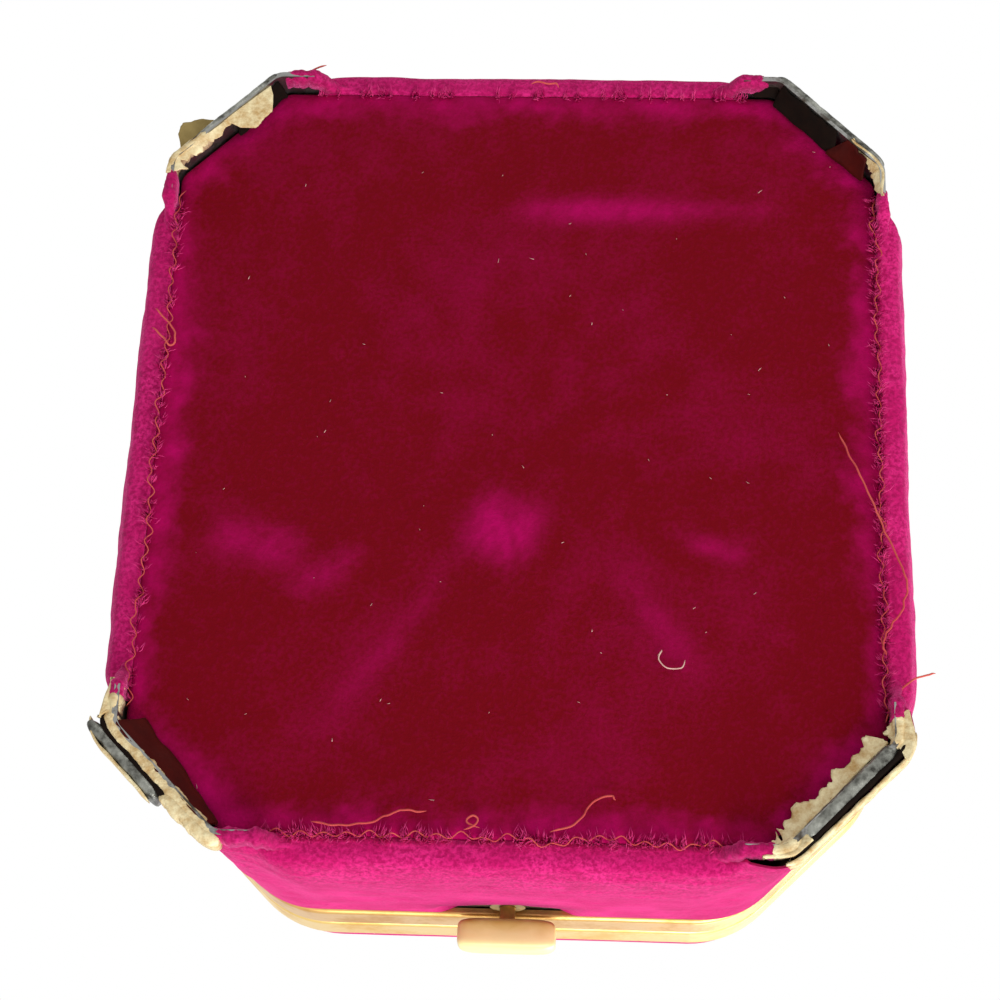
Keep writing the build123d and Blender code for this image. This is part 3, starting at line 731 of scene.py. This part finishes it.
edgings = [
    # (name, foot, from, to, offsets, width, base, height, kind, roughness)
    ("strip", "back_right", -3.0, 5.9, (-0.1, -0.1), 0.60, -0.05, 1.3, "tin", 0.12),
    ("strip", "back_left", -5.4, 6.0, (0.05, 0.0), 0.66, -0.05, 1.4, "tin", 0.12),
    ("strip", "front_left", -5.2, 4.1, (-0.15, 0.10), 1.15, -0.09, 2.0, "tin", 0.08),
    ("strip", "front_right", -6.9, 0.6, (1.00, 1.05), 0.90, -0.02, 2.4, "tin", 0.14),
    # The backings: near-black strips in the gap outside the tin's edge, standing for the shadow there as
    # painted shadow.
    ("backing_and_shadow", "front_left", -6.0, 5.4, (0.45, 0.55), 0.50, -0.02, 2.0, "black", 0.15),
    ("backing_and_shadow", "front_right", -6.6, 1.8, (0.60, 0.60), 0.60, 0.05, 2.0, "black", 0.10),
    ("layer", "front_right", -6.8, 5.8, (0.05, 0.0), 1.00, -0.06, 1.8, "paper", 0.36),
    ("layer_end", "front_right", 0.8, 6.0, (0.70, 0.30), 1.00, -0.08, 1.8, "paper", 0.34),
    ("layer_outer", "front_right", -6.2, 0.2, (1.58, 1.58), 0.20, 0.10, 1.6, "paper", 0.20),
    ("layer", "front_left", -6.4, 5.8, (1.05, 0.95), 0.30, 0.10, 1.6, "paper", 0.20),
    ("layer", "back_right", -6.8, -1.6, (-0.15, -0.2), 0.75, -0.06, 1.6, "paper", 0.30),
    ("cover", "front_left", -8.0, -4.8, (-0.15, -0.15), 0.85, -0.06, 1.6, "paper", 0.30),
    ("cover_front", "front_left", 4.2, 7.0, (-0.15, -0.15), 0.95, -0.08, 1.6, "paper", 0.35),
    ("cover", "front_right", -8.2, -6.2, (-0.1, -0.1), 0.90, -0.07, 1.6, "paper", 0.30),
]
# The wall's velvet is rolled over the shell's edge on both sides of each foot.
roll_end = 10.8
rolls = (
    # (foot, end of the side's roll, its width, start of the front's or back's roll, its width)
    ("front_left", -6.8, 0.95, 5.9, 1.00),
    ("front_right", -7.2, 0.95, 5.2, 1.05),
    ("back_right", -6.2, 0.90, 6.0, 0.90),
    ("back_left", -7.4, 0.90, 6.4, 0.90),
)
for foot, side_end, side_width, face_end, face_width in rolls:
    face = foot.split("_")[0]
    rest = (-0.07, 1.6, "velvet", 0.45)
    edgings.append(("turn_side", foot, -roll_end, side_end, (-0.1, -0.2), side_width, *rest))
    edgings.append((f"turn_{face}", foot, face_end, roll_end, (-0.2, -0.1), face_width, *rest))
for count, (name, foot, start, end, out, width, base, high, kind, rough) in enumerate(edgings):
    name = f"foot_{name}_{foot}"
    straight = kind == "tin" and "front" in foot
    shape = (start, end), out, width, base, high
    made = edging(name, feet[foot], *shape, *kinds[kind], rough, 11.0 + 5 * count, straight)
    if kind == "velvet":
        paint(made, "crushed", np.ones(len(made.data.vertices)))
        paint(made, "soiled_and_shadow", np.full(len(made.data.vertices), 0.18))


# ---- Seam of the bottom panel ------------------------------------------------------------
# Coral cotton thread catches the panel's edge to the wall's velvet.  The cut edges' pile
# stands up between the stitches in tufts, most of all along the front and the left side.

seam_inset, seam_level = 0.74, 1.85
stitch, stitch_sway, stitch_wander, stitch_rise = 0.8, 0.16, 0.55, 0.30
run_past = 1.2  # how far a run of stitches goes on beside a foot
thread_step, kink_size = 0.22, 0.8  # between a thread's rings of points, and of its kinks
tuft_pitch, tuft_size, tuft_rise = 0.26, 12, 0.45  # mm apart, hairs in each, mm above the seam
hair_radius, hair_length = 0.05, (0.4, 1.25)  # several times a real hair, or it would not show
seam_thread_radius = 0.045
tuft_share = {"front": 1.0, "left": 0.9, "right": 0.45, "back": 0.28}
random = np.random.default_rng(19)


def fibres(name, roots, tips, bows, radius, material, slot):
    """Fine hairs, each a three-sided spike that bends sideways by its bow."""
    axis = tips - roots
    axis /= np.linalg.norm(axis, axis=1)[:, None]
    side = np.cross(axis, (0.31, 0.87, 0.38))
    side /= np.linalg.norm(side, axis=1)[:, None]
    other = np.cross(axis, side)
    points = np.empty((len(roots), 7, 3))
    for k in range(3):
        turn = 2 * math.pi * k / 3
        arm = radius * (side * math.cos(turn) + other * math.sin(turn))
        points[:, k] = roots + arm
        points[:, 3 + k] = (roots + tips) / 2 + bows + 0.75 * arm
    points[:, 6] = tips
    spike = [(0, 1, 4, 3), (1, 2, 5, 4), (2, 0, 3, 5), (3, 4, 6), (4, 5, 6), (5, 3, 6), (2, 1, 0)]
    faces = [tuple(7 * i + v for v in face) for i in range(len(roots)) for face in spike]
    return piece(name, points.reshape(-1, 3), faces, material, "base")


def eased(route, count):
    """Smooth run of points through the points of a route."""
    route = np.asarray(route, float)
    padded = np.vstack([2 * route[0] - route[1], route, 2 * route[-1] - route[-2]])
    points = []
    for place in np.linspace(0, len(route) - 1, count):
        i = min(int(place), len(route) - 2)
        f = place - i
        a, b, c, d = padded[i : i + 4]
        points.append(b + 0.5 * f * (c - a + f * (2 * a - 5 * b + 4 * c - d + f * (3 * (b - c) + d - a))))
    return np.array(points)


def thread(name, route, radius, material, kink=0.05, seed=0.0):
    """Sewing thread: a thin tube with small kinks, drawn out thinner at its two ends."""
    length = np.linalg.norm(np.diff(np.asarray(route, float), axis=0), axis=1).sum()
    count = int(length / thread_step) + 8
    line = eased(route, count)
    far = np.linspace(0, length, count)
    kinks = [[noise.noise(Vector((v / kink_size, seed, k * 5.0))) for k in range(3)] for v in far]
    line += kink * 2 * np.array(kinks)
    along = np.gradient(line, axis=0)
    along /= np.linalg.norm(along, axis=1)[:, None]
    side = np.cross(along, (0.05, 0.08, 1.0))
    side /= np.linalg.norm(side, axis=1)[:, None]
    other = np.cross(along, side)
    thin = radius * np.minimum(1, np.minimum(far, length - far) / 0.5 + 0.25)[:, None]
    turns = 2 * math.pi * np.arange(5) / 5
    loops = [line + thin * (side * math.cos(t) + other * math.sin(t)) for t in turns]
    points = np.stack(loops, 1).reshape(-1, 3)
    faces = grid_faces(count, 5)
    faces += [(4, 3, 2, 1, 0), tuple(range(5 * count - 5, 5 * count))]
    return piece(name, points, faces, material, "base")


# Cut velvet pile: the wall's magenta, paler in small clouds where the hairs have lost dye.
pile_ends = mottled(
    "cut_velvet_pile",
    ("#b80b5c", "#f24a94"),
    clouds=(0.9, 2.0, 0.5),
    between=(0.35, 0.65),
    more={"Specular IOR Level": 0.1},
)
# Coral sewing cotton: matt and twisted, faded unevenly from red to salmon.
cotton = mottled(
    "coral_sewing_cotton",
    ("#b0142e", "#e06a58"),
    clouds=(3.0, 3.0, 0.5),
    rough=0.85,
    relief=(0.5, 0.03),
    grain=("TexNoise", {"Scale": per(0.12), "Detail": 1.0}),
)

seam = plan(seam_level, -seam_inset)
seam_out = outward(seam)
seam_free = smooth(past_foot(seam), -2.2, 0.4)
roots, tips, bows = [], [], []
lengths = np.linalg.norm(np.roll(seam, -1, 0) - seam, axis=1)
mileposts = np.concatenate([[0], np.cumsum(lengths)])
closed_seam = np.vstack([seam, seam[:1]])
closed_out = np.vstack([seam_out, seam_out[:1]])
closed_free = np.append(seam_free, seam_free[0])
for far in np.arange(0, mileposts[-1], tuft_pitch):
    far += random.uniform(-0.2, 0.2)
    x, y = (np.interp(far, mileposts, closed_seam[:, k]) for k in range(2))
    out = np.array([np.interp(far, mileposts, closed_out[:, k]) for k in range(2)])
    side = ("front" if out[1] < 0 else "back") if abs(out[1]) > 0.8 else ("right" if out[0] > 0 else "left")
    share = tuft_share[side] * (0.75 + 0.9 * noise.noise(Vector((far / 3.0, 4.0, 0))))
    if random.uniform() > share * np.interp(far, mileposts, closed_free):
        continue
    lean = random.uniform(-0.5, 0.5, 2)
    for _ in range(tuft_size):
        length = random.uniform(*hair_length)
        across = random.uniform(-0.9, 0.9)
        level = (out * across + np.array([-out[1], out[0]]) * lean[0]) * length
        root = np.array([x, y, seam_level + tuft_rise]) + random.uniform(-0.14, 0.14, 3)
        roots.append(root)
        tips.append(root + (*level, -0.45 - 0.55 * length))
        bows.append(random.uniform(-0.14, 0.14, 3))
fibres("seam_tufts", *map(np.array, (roots, tips, bows)), hair_radius, pile_ends, "magenta_velvet")

# Each run of thread goes to and fro between two feet, and wanders a little on its way.
for side, sign in (("front", -1), ("left", -1), ("right", 1)):
    along_x = side == "front"
    long, wide = (half_width, half_depth) if along_x else (half_depth, half_width)
    run_end = long - foot_leg - foot_wrap + run_past
    across = sign * (wide - seam_inset)
    route = []
    for count, far in enumerate(np.arange(-run_end, run_end, stitch)):
        x, y = (far, across) if along_x else (across, far)
        sway = stitch_sway * (-1) ** count + stitch_wander * noise.noise(Vector((x / 2.2, y / 2.2, 1.0)))
        x, y = (x, y + sway) if along_x else (x + sway, y)
        route.append((x, y + middle_y, seam_level + stitch_rise * (count % 2 - 1)))
    thread(f"seam_thread_{side}", route, seam_thread_radius, cotton, kink=0.04, seed=len(side))


# ---- Gilt rims ---------------------------------------------------------------------------
# Brass strip, gilded, drawn round the mouth of the base and of the lid.  The base's rim is
# given a tanner copy of the gilt: painted shade, under the bulging velvet.

rims = {
    "base_rim": ("shaded_gilt_brass", "#ddb06c", "#b88a4e", ("hinge_leaf_base",)),
    "lid_rim": ("bright_gilt_brass", "#f0cd80", "#d2a65c", ("hinge_leaf_lid",)),
}
# Gilt brass: warm bright metal with shallow dents, browner and duller where it is rubbed.
for node, (name, light, dark, others) in rims.items():
    gilt = mottled(
        name,
        (light, dark),
        clouds=(4.5, 5.0, 0.6),
        between=(0.42, 0.66),
        blend="SMOOTHSTEP",
        rough=(0.30, 0.50),
        relief=(0.25, 0.15),
        grain=("TexNoise", {"Scale": per(2.4), "Detail": 2.0}),
        more={"Metallic": 1.0},
    )
    give(gilt, node, *others)


# ---- Ring tray ---------------------------------------------------------------------------
# A pasteboard tray stands on the bottom card.  Two velvet rolls on it grip a ring between
# them, inside a padded border of gathered satin.  None of this shows in the photograph.

border_low, border_high = box_mm("tray_border")
pad_front_low, pad_front_high = box_mm("pad_roll_front")
pad_back_low, pad_back_high = box_mm("pad_roll_back")
border_gap, border_inset = 0.35, 1.45  # from the rolls, and from the shell's cut corners
border_rows = 19
gather_pitch, gather_depth = 1.7, 0.20
RING = 480  # mesh columns round the tray and the lid's lining

# Pasteboard: grey-buff pressed pulp with darker flecks.
pasteboard = mottled(
    "grey_pasteboard", ("#b9a682", "#7d6d52"), clouds=(0.5, 5.0, 0.8), rough=0.92, relief=(0.5, 0.08)
)
give(pasteboard, "bottom_card", "tray_wall", "tray_platform", "lid_board")

# Ivory silk satin: soft broad gloss, a cross thread and yellowing in patches.  The wave
# draws a band in each third of its size, far coarser than the real thread, so that it shows.
satin, tree, place = start_material("ivory_silk_satin")
weft = add(tree, "TexWave", {"Vector": place, "Scale": per(4.5), "Distortion": 2.0}).outputs["Fac"]
aged = add(tree, "TexNoise", {"Vector": place, "Scale": per(9.0), "Detail": 4.0}).outputs["Fac"]
tint = add(tree, "Mix", {0: aged, 6: colour("#f3e8cd"), 7: colour("#d3bb8b")}, data_type="RGBA")
rough = add(tree, "MapRange", {"Value": weft, "To Min": 0.30, "To Max": 0.42})
threads = add(tree, "TexNoise", {"Vector": place, "Scale": per(0.25), "Detail": 2.0})
bump = add(tree, "Bump", {"Height": threads.outputs["Fac"], "Strength": 0.2, "Distance": 0.05 * MM})
silk = add(
    tree,
    "BsdfPrincipled",
    {
        "Base Color": tint.outputs[2],
        "Roughness": rough.outputs[0],
        "Sheen Weight": 0.35,
        "Sheen Roughness": 0.3,
        "Normal": bump.outputs[0],
    },
)
add(tree, "OutputMaterial", {"Surface": silk.outputs[0]})


def superellipse(angle, power):
    """Cosine and sine drawn out towards a square as power falls below 1."""
    c, s = np.cos(angle), np.sin(angle)
    return np.sign(c) * np.abs(c) ** power, np.sign(s) * np.abs(s) ** power


def pillow(low, high, plan_power, side_power, rows=36, columns=96):
    """Points and faces of a closed form, crowned and rounded, that fills a box."""
    middle, half = (low + high) / 2, (high - low) / 2
    rise, level = np.linspace(-math.pi / 2, math.pi / 2, rows), np.arange(columns) * 2 * math.pi / columns
    c1, s1 = superellipse(rise[1:-1], side_power)
    c2, s2 = superellipse(level + 0.0001, plan_power)
    x, y = np.outer(c1, c2), np.outer(c1, s2)
    z = np.repeat(s1[:, None], columns, 1)
    body = np.stack([x, y, z], 2).reshape(-1, 3)
    points = np.vstack([body, [(0, 0, -1), (0, 0, 1)]]) * np.array(half) + np.array(middle)
    faces = grid_faces(rows - 2, columns)
    last = (rows - 3) * columns
    for j in range(columns):
        k = (j + 1) % columns
        faces += [(len(body), k, j), (len(body) + 1, last + j, last + k)]
    return points, faces


def reach(ways, middle, half_x, front, back, slant=None, sharp=28):
    """How far an oblong reaches from a middle in each direction; slant cuts its corners."""
    planes = [((1, 0), half_x), ((-1, 0), half_x), ((0, 1), back), ((0, -1), front)]
    if slant:
        planes += [((a / math.sqrt(2), b / math.sqrt(2)), slant) for a in (-1, 1) for b in (-1, 1)]
    total = 0
    for way, far in planes:
        total = total + np.maximum(ways @ np.array(way) / (far - np.dot(way, middle)), 0) ** sharp
    return total ** (-1 / sharp)


def gathers(line, pitch, seed):
    """Ridges of gathered cloth along a closed line, -1 to 1, uneven as if drawn up by hand."""
    step = np.linalg.norm(np.roll(line, -1, 0) - line, axis=1)
    far = np.cumsum(step)
    turns = round(far[-1] / pitch)
    wander = np.array([noise.noise(Vector((p[0] / 6, p[1] / 6, seed))) for p in line])
    return np.sin(2 * math.pi * turns * far / far[-1] + 4.0 * wander)


for name, low, high in (("front", pad_front_low, pad_front_high), ("back", pad_back_low, pad_back_high)):
    points, faces = pillow(low, high, 0.22, 0.42)
    top = smooth(points[:, 2], low.z + 2.5, high.z)
    points[:, 2] += top * (0.12 * cloudy(points, (9.0, 6.0, 9.0)) - 0.14)
    roll = piece(f"ring_roll_{name}", points, faces, panel_velvet, "base")
    # The rolls' sides get more painted magenta sheen than their tops.
    paint(roll, "brushed_and_sheen", np.clip(0.15 + 0.25 * cloudy(points, 7.0) + 0.3 * (1 - top), 0, 1))
    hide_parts(f"pad_roll_{name}")

angles = np.arange(RING) * 2 * math.pi / RING
ways = np.stack([np.cos(angles), np.sin(angles)], 1)
tray_middle = np.array((0, (border_low.y + border_high.y) / 2 - middle_y))
pad_half_x = (pad_front_high.x - pad_front_low.x) / 2 + border_gap
pad_front = -(pad_front_low.y - middle_y) + border_gap
pad_back = pad_back_high.y - middle_y + border_gap
tray_inner = reach(ways, tray_middle, pad_half_x, pad_front, pad_back, sharp=40)
tray_leg = foot_leg + (rim_leg - foot_leg) * border_low.z / parting
tray_slant = (half_width + half_depth - tray_leg) / math.sqrt(2) - border_inset
tray_front, tray_back = middle_y - border_low.y, border_high.y - middle_y
tray_outer = reach(ways, tray_middle, border_high.x, tray_front, tray_back, tray_slant, sharp=40)
ridge = gathers(ways * (tray_inner + tray_outer)[:, None] / 2, gather_pitch, 3.0)
rings = []
for angle in np.linspace(0, math.pi, border_rows):
    c, s = superellipse(angle, 0.6)
    wide = tray_inner + (tray_outer - tray_inner) * (0.5 - 0.5 * c)
    z = border_low.z + (border_high.z - border_low.z - gather_depth) * s + gather_depth * s * ridge
    rings.append(np.column_stack([ways * wide[:, None] + tray_middle + (0, middle_y), z]))
faces = grid_faces(border_rows, RING)
border = piece("satin_tray_border", np.concatenate(rings), faces, satin, "base")
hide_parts("tray_border")


# ---- Ledge over the catch ----------------------------------------------------------------
# Two card strips covered in the same satin over a little wadding, glued on small pine
# blocks in front of the tray, one on each side of the catch.

ledge_low, ledge_high = box_mm("front_ledge")
ledge_split = 3.5  # half the gap that the catch works in
ledge_wall, ledge_gap = 0.4, 0.75  # what the cut corner's wall takes, and the clearance to it
ledge_rows, ledge_columns = 26, 60

# Pine: pale softwood with a darker grain not quite 2 mm apart, a third of the wave's size.
pine, tree, place = start_material("planed_pine")
grain = add(tree, "TexWave", {"Vector": place, "Scale": per(6.0), "Distortion": 3.0}).outputs["Fac"]
tint = add(tree, "Mix", {0: grain, 6: colour("#dcb983"), 7: colour("#a9793f")}, data_type="RGBA")
wood = add(tree, "BsdfPrincipled", {"Base Color": tint.outputs[2], "Roughness": 0.7})
add(tree, "OutputMaterial", {"Surface": wood.outputs[0]})
give(pine, "ledge_blocks")

ledge_cut = (half_width + half_depth - tray_leg - ledge_wall) / math.sqrt(2) - ledge_gap
points, faces = [], []
for side in (-1, 1):
    xs = np.linspace(ledge_split, ledge_high.x, ledge_columns)
    front = np.minimum(middle_y - ledge_low.y, ledge_cut * math.sqrt(2) - xs)
    back = middle_y - ledge_high.y
    start = len(points)
    for angle in np.linspace(0, 2 * math.pi, ledge_rows, endpoint=False):
        c, s = superellipse(angle, 0.45)
        ends = np.clip(np.minimum(xs - ledge_split, ledge_high.x - xs) / 0.6, 0, 1) ** 0.4 * 0.5
        y = -(back + (np.maximum(front, back + 0.05) - back) * (0.5 + 0.5 * c)) + middle_y
        pleat = 0.06 * np.sin(xs * 2 * math.pi / gather_pitch) * (s > 0)
        z = (ledge_low.z + ledge_high.z) / 2 + s * (ledge_high.z - ledge_low.z) * (ends + pleat)
        points.extend(zip(side * xs, y, np.clip(z, ledge_low.z, ledge_high.z + 0.15)))
    total = ledge_rows * ledge_columns
    loop = grid_faces(ledge_rows + 1, ledge_columns, closed=False)
    loop = [tuple(start + v % total for v in face) for face in loop]
    faces += loop if side > 0 else [face[::-1] for face in loop]
    for column in (0, ledge_columns - 1):
        cap = tuple(start + i * ledge_columns + column for i in range(ledge_rows))
        faces.append(cap if (column == 0) == (side > 0) else cap[::-1])
ledge = piece("satin_ledge", points, faces, satin, "base")
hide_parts("front_ledge")


# ---- Hinge, catch and button -------------------------------------------------------------
# A brass hinge on a steel pin, and a blued spring strip whose tooth holds the lid's plate.
# The button is an ivory-coloured celluloid bar on a brass shank through an eyelet.

# Pressed brass: warm metal, dulled and spotted by a century of handling.
brass = mottled(
    "dull_brass",
    ("#d8b25e", "#5c4320"),
    clouds=(0.8, 4.0, 0.5),
    rough=(0.25, 0.55),
    more={"Metallic": 1.0},
)
give(brass, "button_eyelet", "button_shank", "hinge_rivets_base", "hinge_rivets_lid")
give(brass, "catch_rivets", "strike_rivets")

# Blued spring steel: dark blue-grey with brown rust freckles.
steel = mottled(
    "blued_spring_steel",
    ("#4d5460", "#5a3a26"),
    clouds=(1.2, 6.0, 0.7),
    between=(0.52, 0.66),
    rough=(0.28, 0.7),
    more={"Metallic": 1.0},
)
give(steel, "hinge_pin", "catch_root", "catch_blade", "strike_plate")

# Moulded celluloid: smooth cream plastic with faint ivory-like streaks along the bar, and
# ochre towards the wall: partly dirt, partly painted shade.
celluloid, tree, place = start_material("ivory_celluloid")
dirt_and_shade = add(tree, "Attribute", attribute_name="handled_and_shade")
stretch = add(tree, "Mapping", {"Vector": place, "Scale": (0.15, 1.0, 1.0)})
streak = {"Vector": stretch.outputs[0], "Scale": per(0.7), "Detail": 3.0}
streak = add(tree, "TexNoise", streak).outputs["Fac"]
tint = add(tree, "Mix", {0: streak, 6: colour("#fdf3b4"), 7: colour("#f4df8c")}, data_type="RGBA")
hues = {0: dirt_and_shade.outputs["Fac"], 6: tint.outputs[2], 7: colour("#c8a232")}
aged = add(tree, "Mix", hues, data_type="RGBA").outputs[2]
rough = add(tree, "MapRange", {"Value": streak, "To Min": 0.28, "To Max": 0.42}).outputs[0]
plastic = add(tree, "BsdfPrincipled", {"Base Color": aged, "Roughness": rough, "IOR": 1.5})
add(tree, "OutputMaterial", {"Surface": plastic.outputs[0]})

points, faces = pillow(button_low, button_high, 0.36, 0.36, rows=40, columns=120)
button = piece("celluloid_button", points, faces, celluloid, "button")
to_wall = smooth(points[:, 1], button_low.y + 0.5, button_high.y)
# The ochre share grows towards the wall: dirt and painted shade.
paint(button, "handled_and_shade", np.clip(0.75 * to_wall + 0.25 * cloudy(points, 1.1) * (0.3 + to_wall), 0, 1))
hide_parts("push_button")


# ---- Lid's velvet ------------------------------------------------------------------------
# One piece of the wall's magenta velvet, stretched over the domed tin and tucked under the
# upper rim.  The photograph shows only its edge, so the dome's height is a guess.

lid_velvet_low, lid_velvet_high = box_mm("lid_velvet")
lid_nap, dome_inset = 0.35, 12.4
lid_tuck = 0.05  # how far its edge stands off the tin under the rim
dome_rows, top_rows = 44, 22
rings = []
for share in (0.0, *np.sin(np.linspace(0, math.pi / 2, dome_rows))):
    grow = lid_nap - dome_inset * (1 - math.sqrt(1 - share**2)) if rings else lid_tuck
    leg = rim_leg + LEAN * grow
    ring = outline(half_width + grow, half_depth + grow, leg, max(rim_round + 0.45 * grow, 1.5))
    z = lid_velvet_low.z + (lid_velvet_high.z - lid_velvet_low.z) * share
    rings.append(np.column_stack([ring, np.full(len(ring), z)]))
for share in np.linspace(1, 0.004, top_rows)[1:]:
    flat_ring = centre + (ring - centre) * share
    rings.append(np.column_stack([flat_ring, np.full(len(ring), z)]))
points = np.concatenate(rings)
faces = grid_faces(len(rings), len(ring))
faces.append(tuple(range(len(points) - len(ring), len(points))))
free = smooth(points[:, 2], lid_velvet_low.z + 0.5, lid_velvet_low.z + 4)
points[:, 2] -= free * 0.10 * (1 + cloudy(points, 11.0))
lid_cover = piece("lid_velvet_cover", points, faces, wall_velvet, "lid")
paint(lid_cover, "crushed", np.clip(0.35 + 0.45 * cloudy(points, 8.0), 0, 1))
paint(lid_cover, "soiled_and_shadow", np.zeros(len(points)))
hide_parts("lid_velvet")


# ---- Lid's lining ------------------------------------------------------------------------
# A satin cushion glued on its card, and a gathered satin frill from it down to the rim.
# None of this shows in the photograph.

lid_pad_low, lid_pad_high = box_mm("lid_pad")
frill_low, frill_high = box_mm("lid_frill")
lid_pad_inset, lid_pad_pitch, lid_pad_rows = 8.2, 2.6, 30
frill_low_inset, frill_high_inset = 1.95, 6.75
frill_rows, frill_columns = 18, 1440
frill_pitch, frill_depth, frill_sag = 2.0, 0.42, 0.35


def lining(turned, inset):
    """Reach of the lid's lining in each direction, drawn in from the shell's plan."""
    slant = (half_width + half_depth - rim_leg) / math.sqrt(2) - inset
    return reach(turned, (0, 0), half_width - inset, half_depth - inset, half_depth - inset, slant)


wide = lining(ways, lid_pad_inset)
ridge = gathers(ways * wide[:, None], lid_pad_pitch, 9.0)
rings = []
for angle in np.linspace(0, math.pi / 2, lid_pad_rows):
    c, s = superellipse(angle, 0.5)
    crown = (lid_pad_high.z - lid_pad_low.z) * (0.80 * s + 0.20 * (1 - c**2))
    pleat = 0.16 * ridge * math.sin(2 * angle) ** 2
    ring = ways * (wide * max(c, 0.003))[:, None] + (0, middle_y)
    rings.append(np.column_stack([ring, lid_pad_high.z - crown + pleat]))
points = np.concatenate(rings)
points[:, 2] = np.maximum(points[:, 2] + 0.10 * cloudy(points, 10.0), lid_pad_low.z)
faces = [face[::-1] for face in grid_faces(lid_pad_rows, RING)]
faces += [tuple(range(RING)), tuple(range(len(points) - RING, len(points)))[::-1]]
lid_cushion = piece("satin_lid_cushion", points, faces, satin, "lid")
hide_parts("lid_pad")

angles = np.arange(frill_columns) * 2 * math.pi / frill_columns
fine_ways = np.stack([np.cos(angles), np.sin(angles)], 1)
ridge = gathers(fine_ways * lining(fine_ways, 4.0)[:, None], frill_pitch, 5.0)
rings = []
for share in np.linspace(0, 1, frill_rows):
    inset = frill_low_inset + (frill_high_inset - frill_low_inset) * share
    inset += frill_sag * math.sin(math.pi * share)
    wide = lining(fine_ways, inset) + frill_depth * ridge * (0.55 + 0.45 * share)
    z = frill_low.z + (frill_high.z - frill_low.z) * share
    rings.append(np.column_stack([fine_ways * wide[:, None] + (0, middle_y), np.full(frill_columns, z)]))
faces = [face[::-1] for face in grid_faces(frill_rows, frill_columns)]
frill = piece("satin_lid_frill", np.concatenate(rings), faces, satin, "lid")
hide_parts("lid_frill")


# ---- Loose threads and lint --------------------------------------------------------------
# Ends of the sewing cotton have come undone along the seam, and bits of lint have caught in
# the panel's pile.  They are much too thin and short for cords.

thread_radius, lint_radius, speck_radius = 0.075, 0.05, 0.032
lint_level, speck_level, scattered = 1.75, 1.95, 46
loose = {
    # name: (height, points on the panel's plane from the shell's middle)
    "left_long": (
        1.4,
        [(-23.9, 1.1), (-25.5, -2.5), (-26.9, -6.1), (-28.0, -8.8), (-28.6, -10.7), (-28.2, -12.7)]
        + [(-27.3, -14.1), (-26.8, -15.3), (-27.0, -16.2)],
    ),
    "left_stray": (2.0, [(-26.9, -21.0), (-27.5, -19.3), (-28.6, -18.0), (-29.6, -17.5), (-30.5, -17.3)]),
    "front_1": (1.4, [(13.2, -29.4), (11.3, -29.6), (9.2, -29.4), (7.8, -28.8), (6.8, -28.4), (5.2, -28.5)]),
    "front_2": (
        1.4,
        [(-3.5, -29.7), (-4.8, -29.3), (-5.7, -28.6), (-6.1, -27.9), (-6.7, -27.3), (-7.7, -27.0)]
        + [(-8.0, -27.3)],
    ),
    "front_3": (1.4, [(2.5, -29.7), (1.8, -29.4), (1.5, -28.9), (2.0, -28.7), (2.3, -29.1), (1.4, -29.6)]),
    "right": (
        1.4,
        [(27.9, 10.5), (27.1, 9.6), (26.4, 8.8), (26.1, 7.9), (26.6, 7.4), (27.1, 8.1), (28.0, 8.9)],
    ),
    "back_1": (1.4, [(20.0, 30.7), (18.8, 31.4), (17.4, 32.0), (16.2, 32.5)]),
    "back_2": (1.4, [(-0.2, 30.9), (-1.0, 31.1), (-2.0, 31.0), (-2.4, 30.6)]),
}
for count, (name, (level, route)) in enumerate(loose.items()):
    lifted = [(x, y + middle_y, level) for x, y in route]
    thread(f"loose_thread_{name}", lifted, thread_radius, cotton, kink=0.09, seed=20.0 + count)

# Pale lint: fine matt fluff, near white.
fluff = mottled("pale_lint", ("#f0cfc0", "#c98a86"), clouds=(1.0, 2.0, 0.5))

curl = [(-10.8, -16.5), (-11.1, -16.1), (-10.9, -16.8), (-11.5, -17.4), (-12.5, -17.4), (-12.7, -16.8)]
lifted = [(x, y + middle_y, lint_level) for x, y in curl]
thread("lint_curl", lifted, lint_radius, fluff, kink=0.05, seed=31.0)
specks = [(-18.1, 21.6), (14.0, 3.3), (4.7, -27.5), (21.5, -27.1), (-13.3, -12.8), (-0.9, 15.5)]
specks += [(1.8, 15.5), (-9.9, -1.1)]
scatter = random.uniform(-1, 1, (scattered, 2)) * (half_width - 4, half_depth - 4)
roots = np.array([(x, y + middle_y, speck_level) for x, y in (*specks, *scatter)])
reaches = random.uniform(-0.45, 0.45, (len(roots), 3)) * ([(1.0,)] * len(specks) + [(0.6,)] * len(scatter))
reaches[:, 2] = -0.12
fibres("lint_specks", roots, roots + reaches, reaches[:, ::-1] * 0.1, speck_radius, fluff, "crimson_velvet")
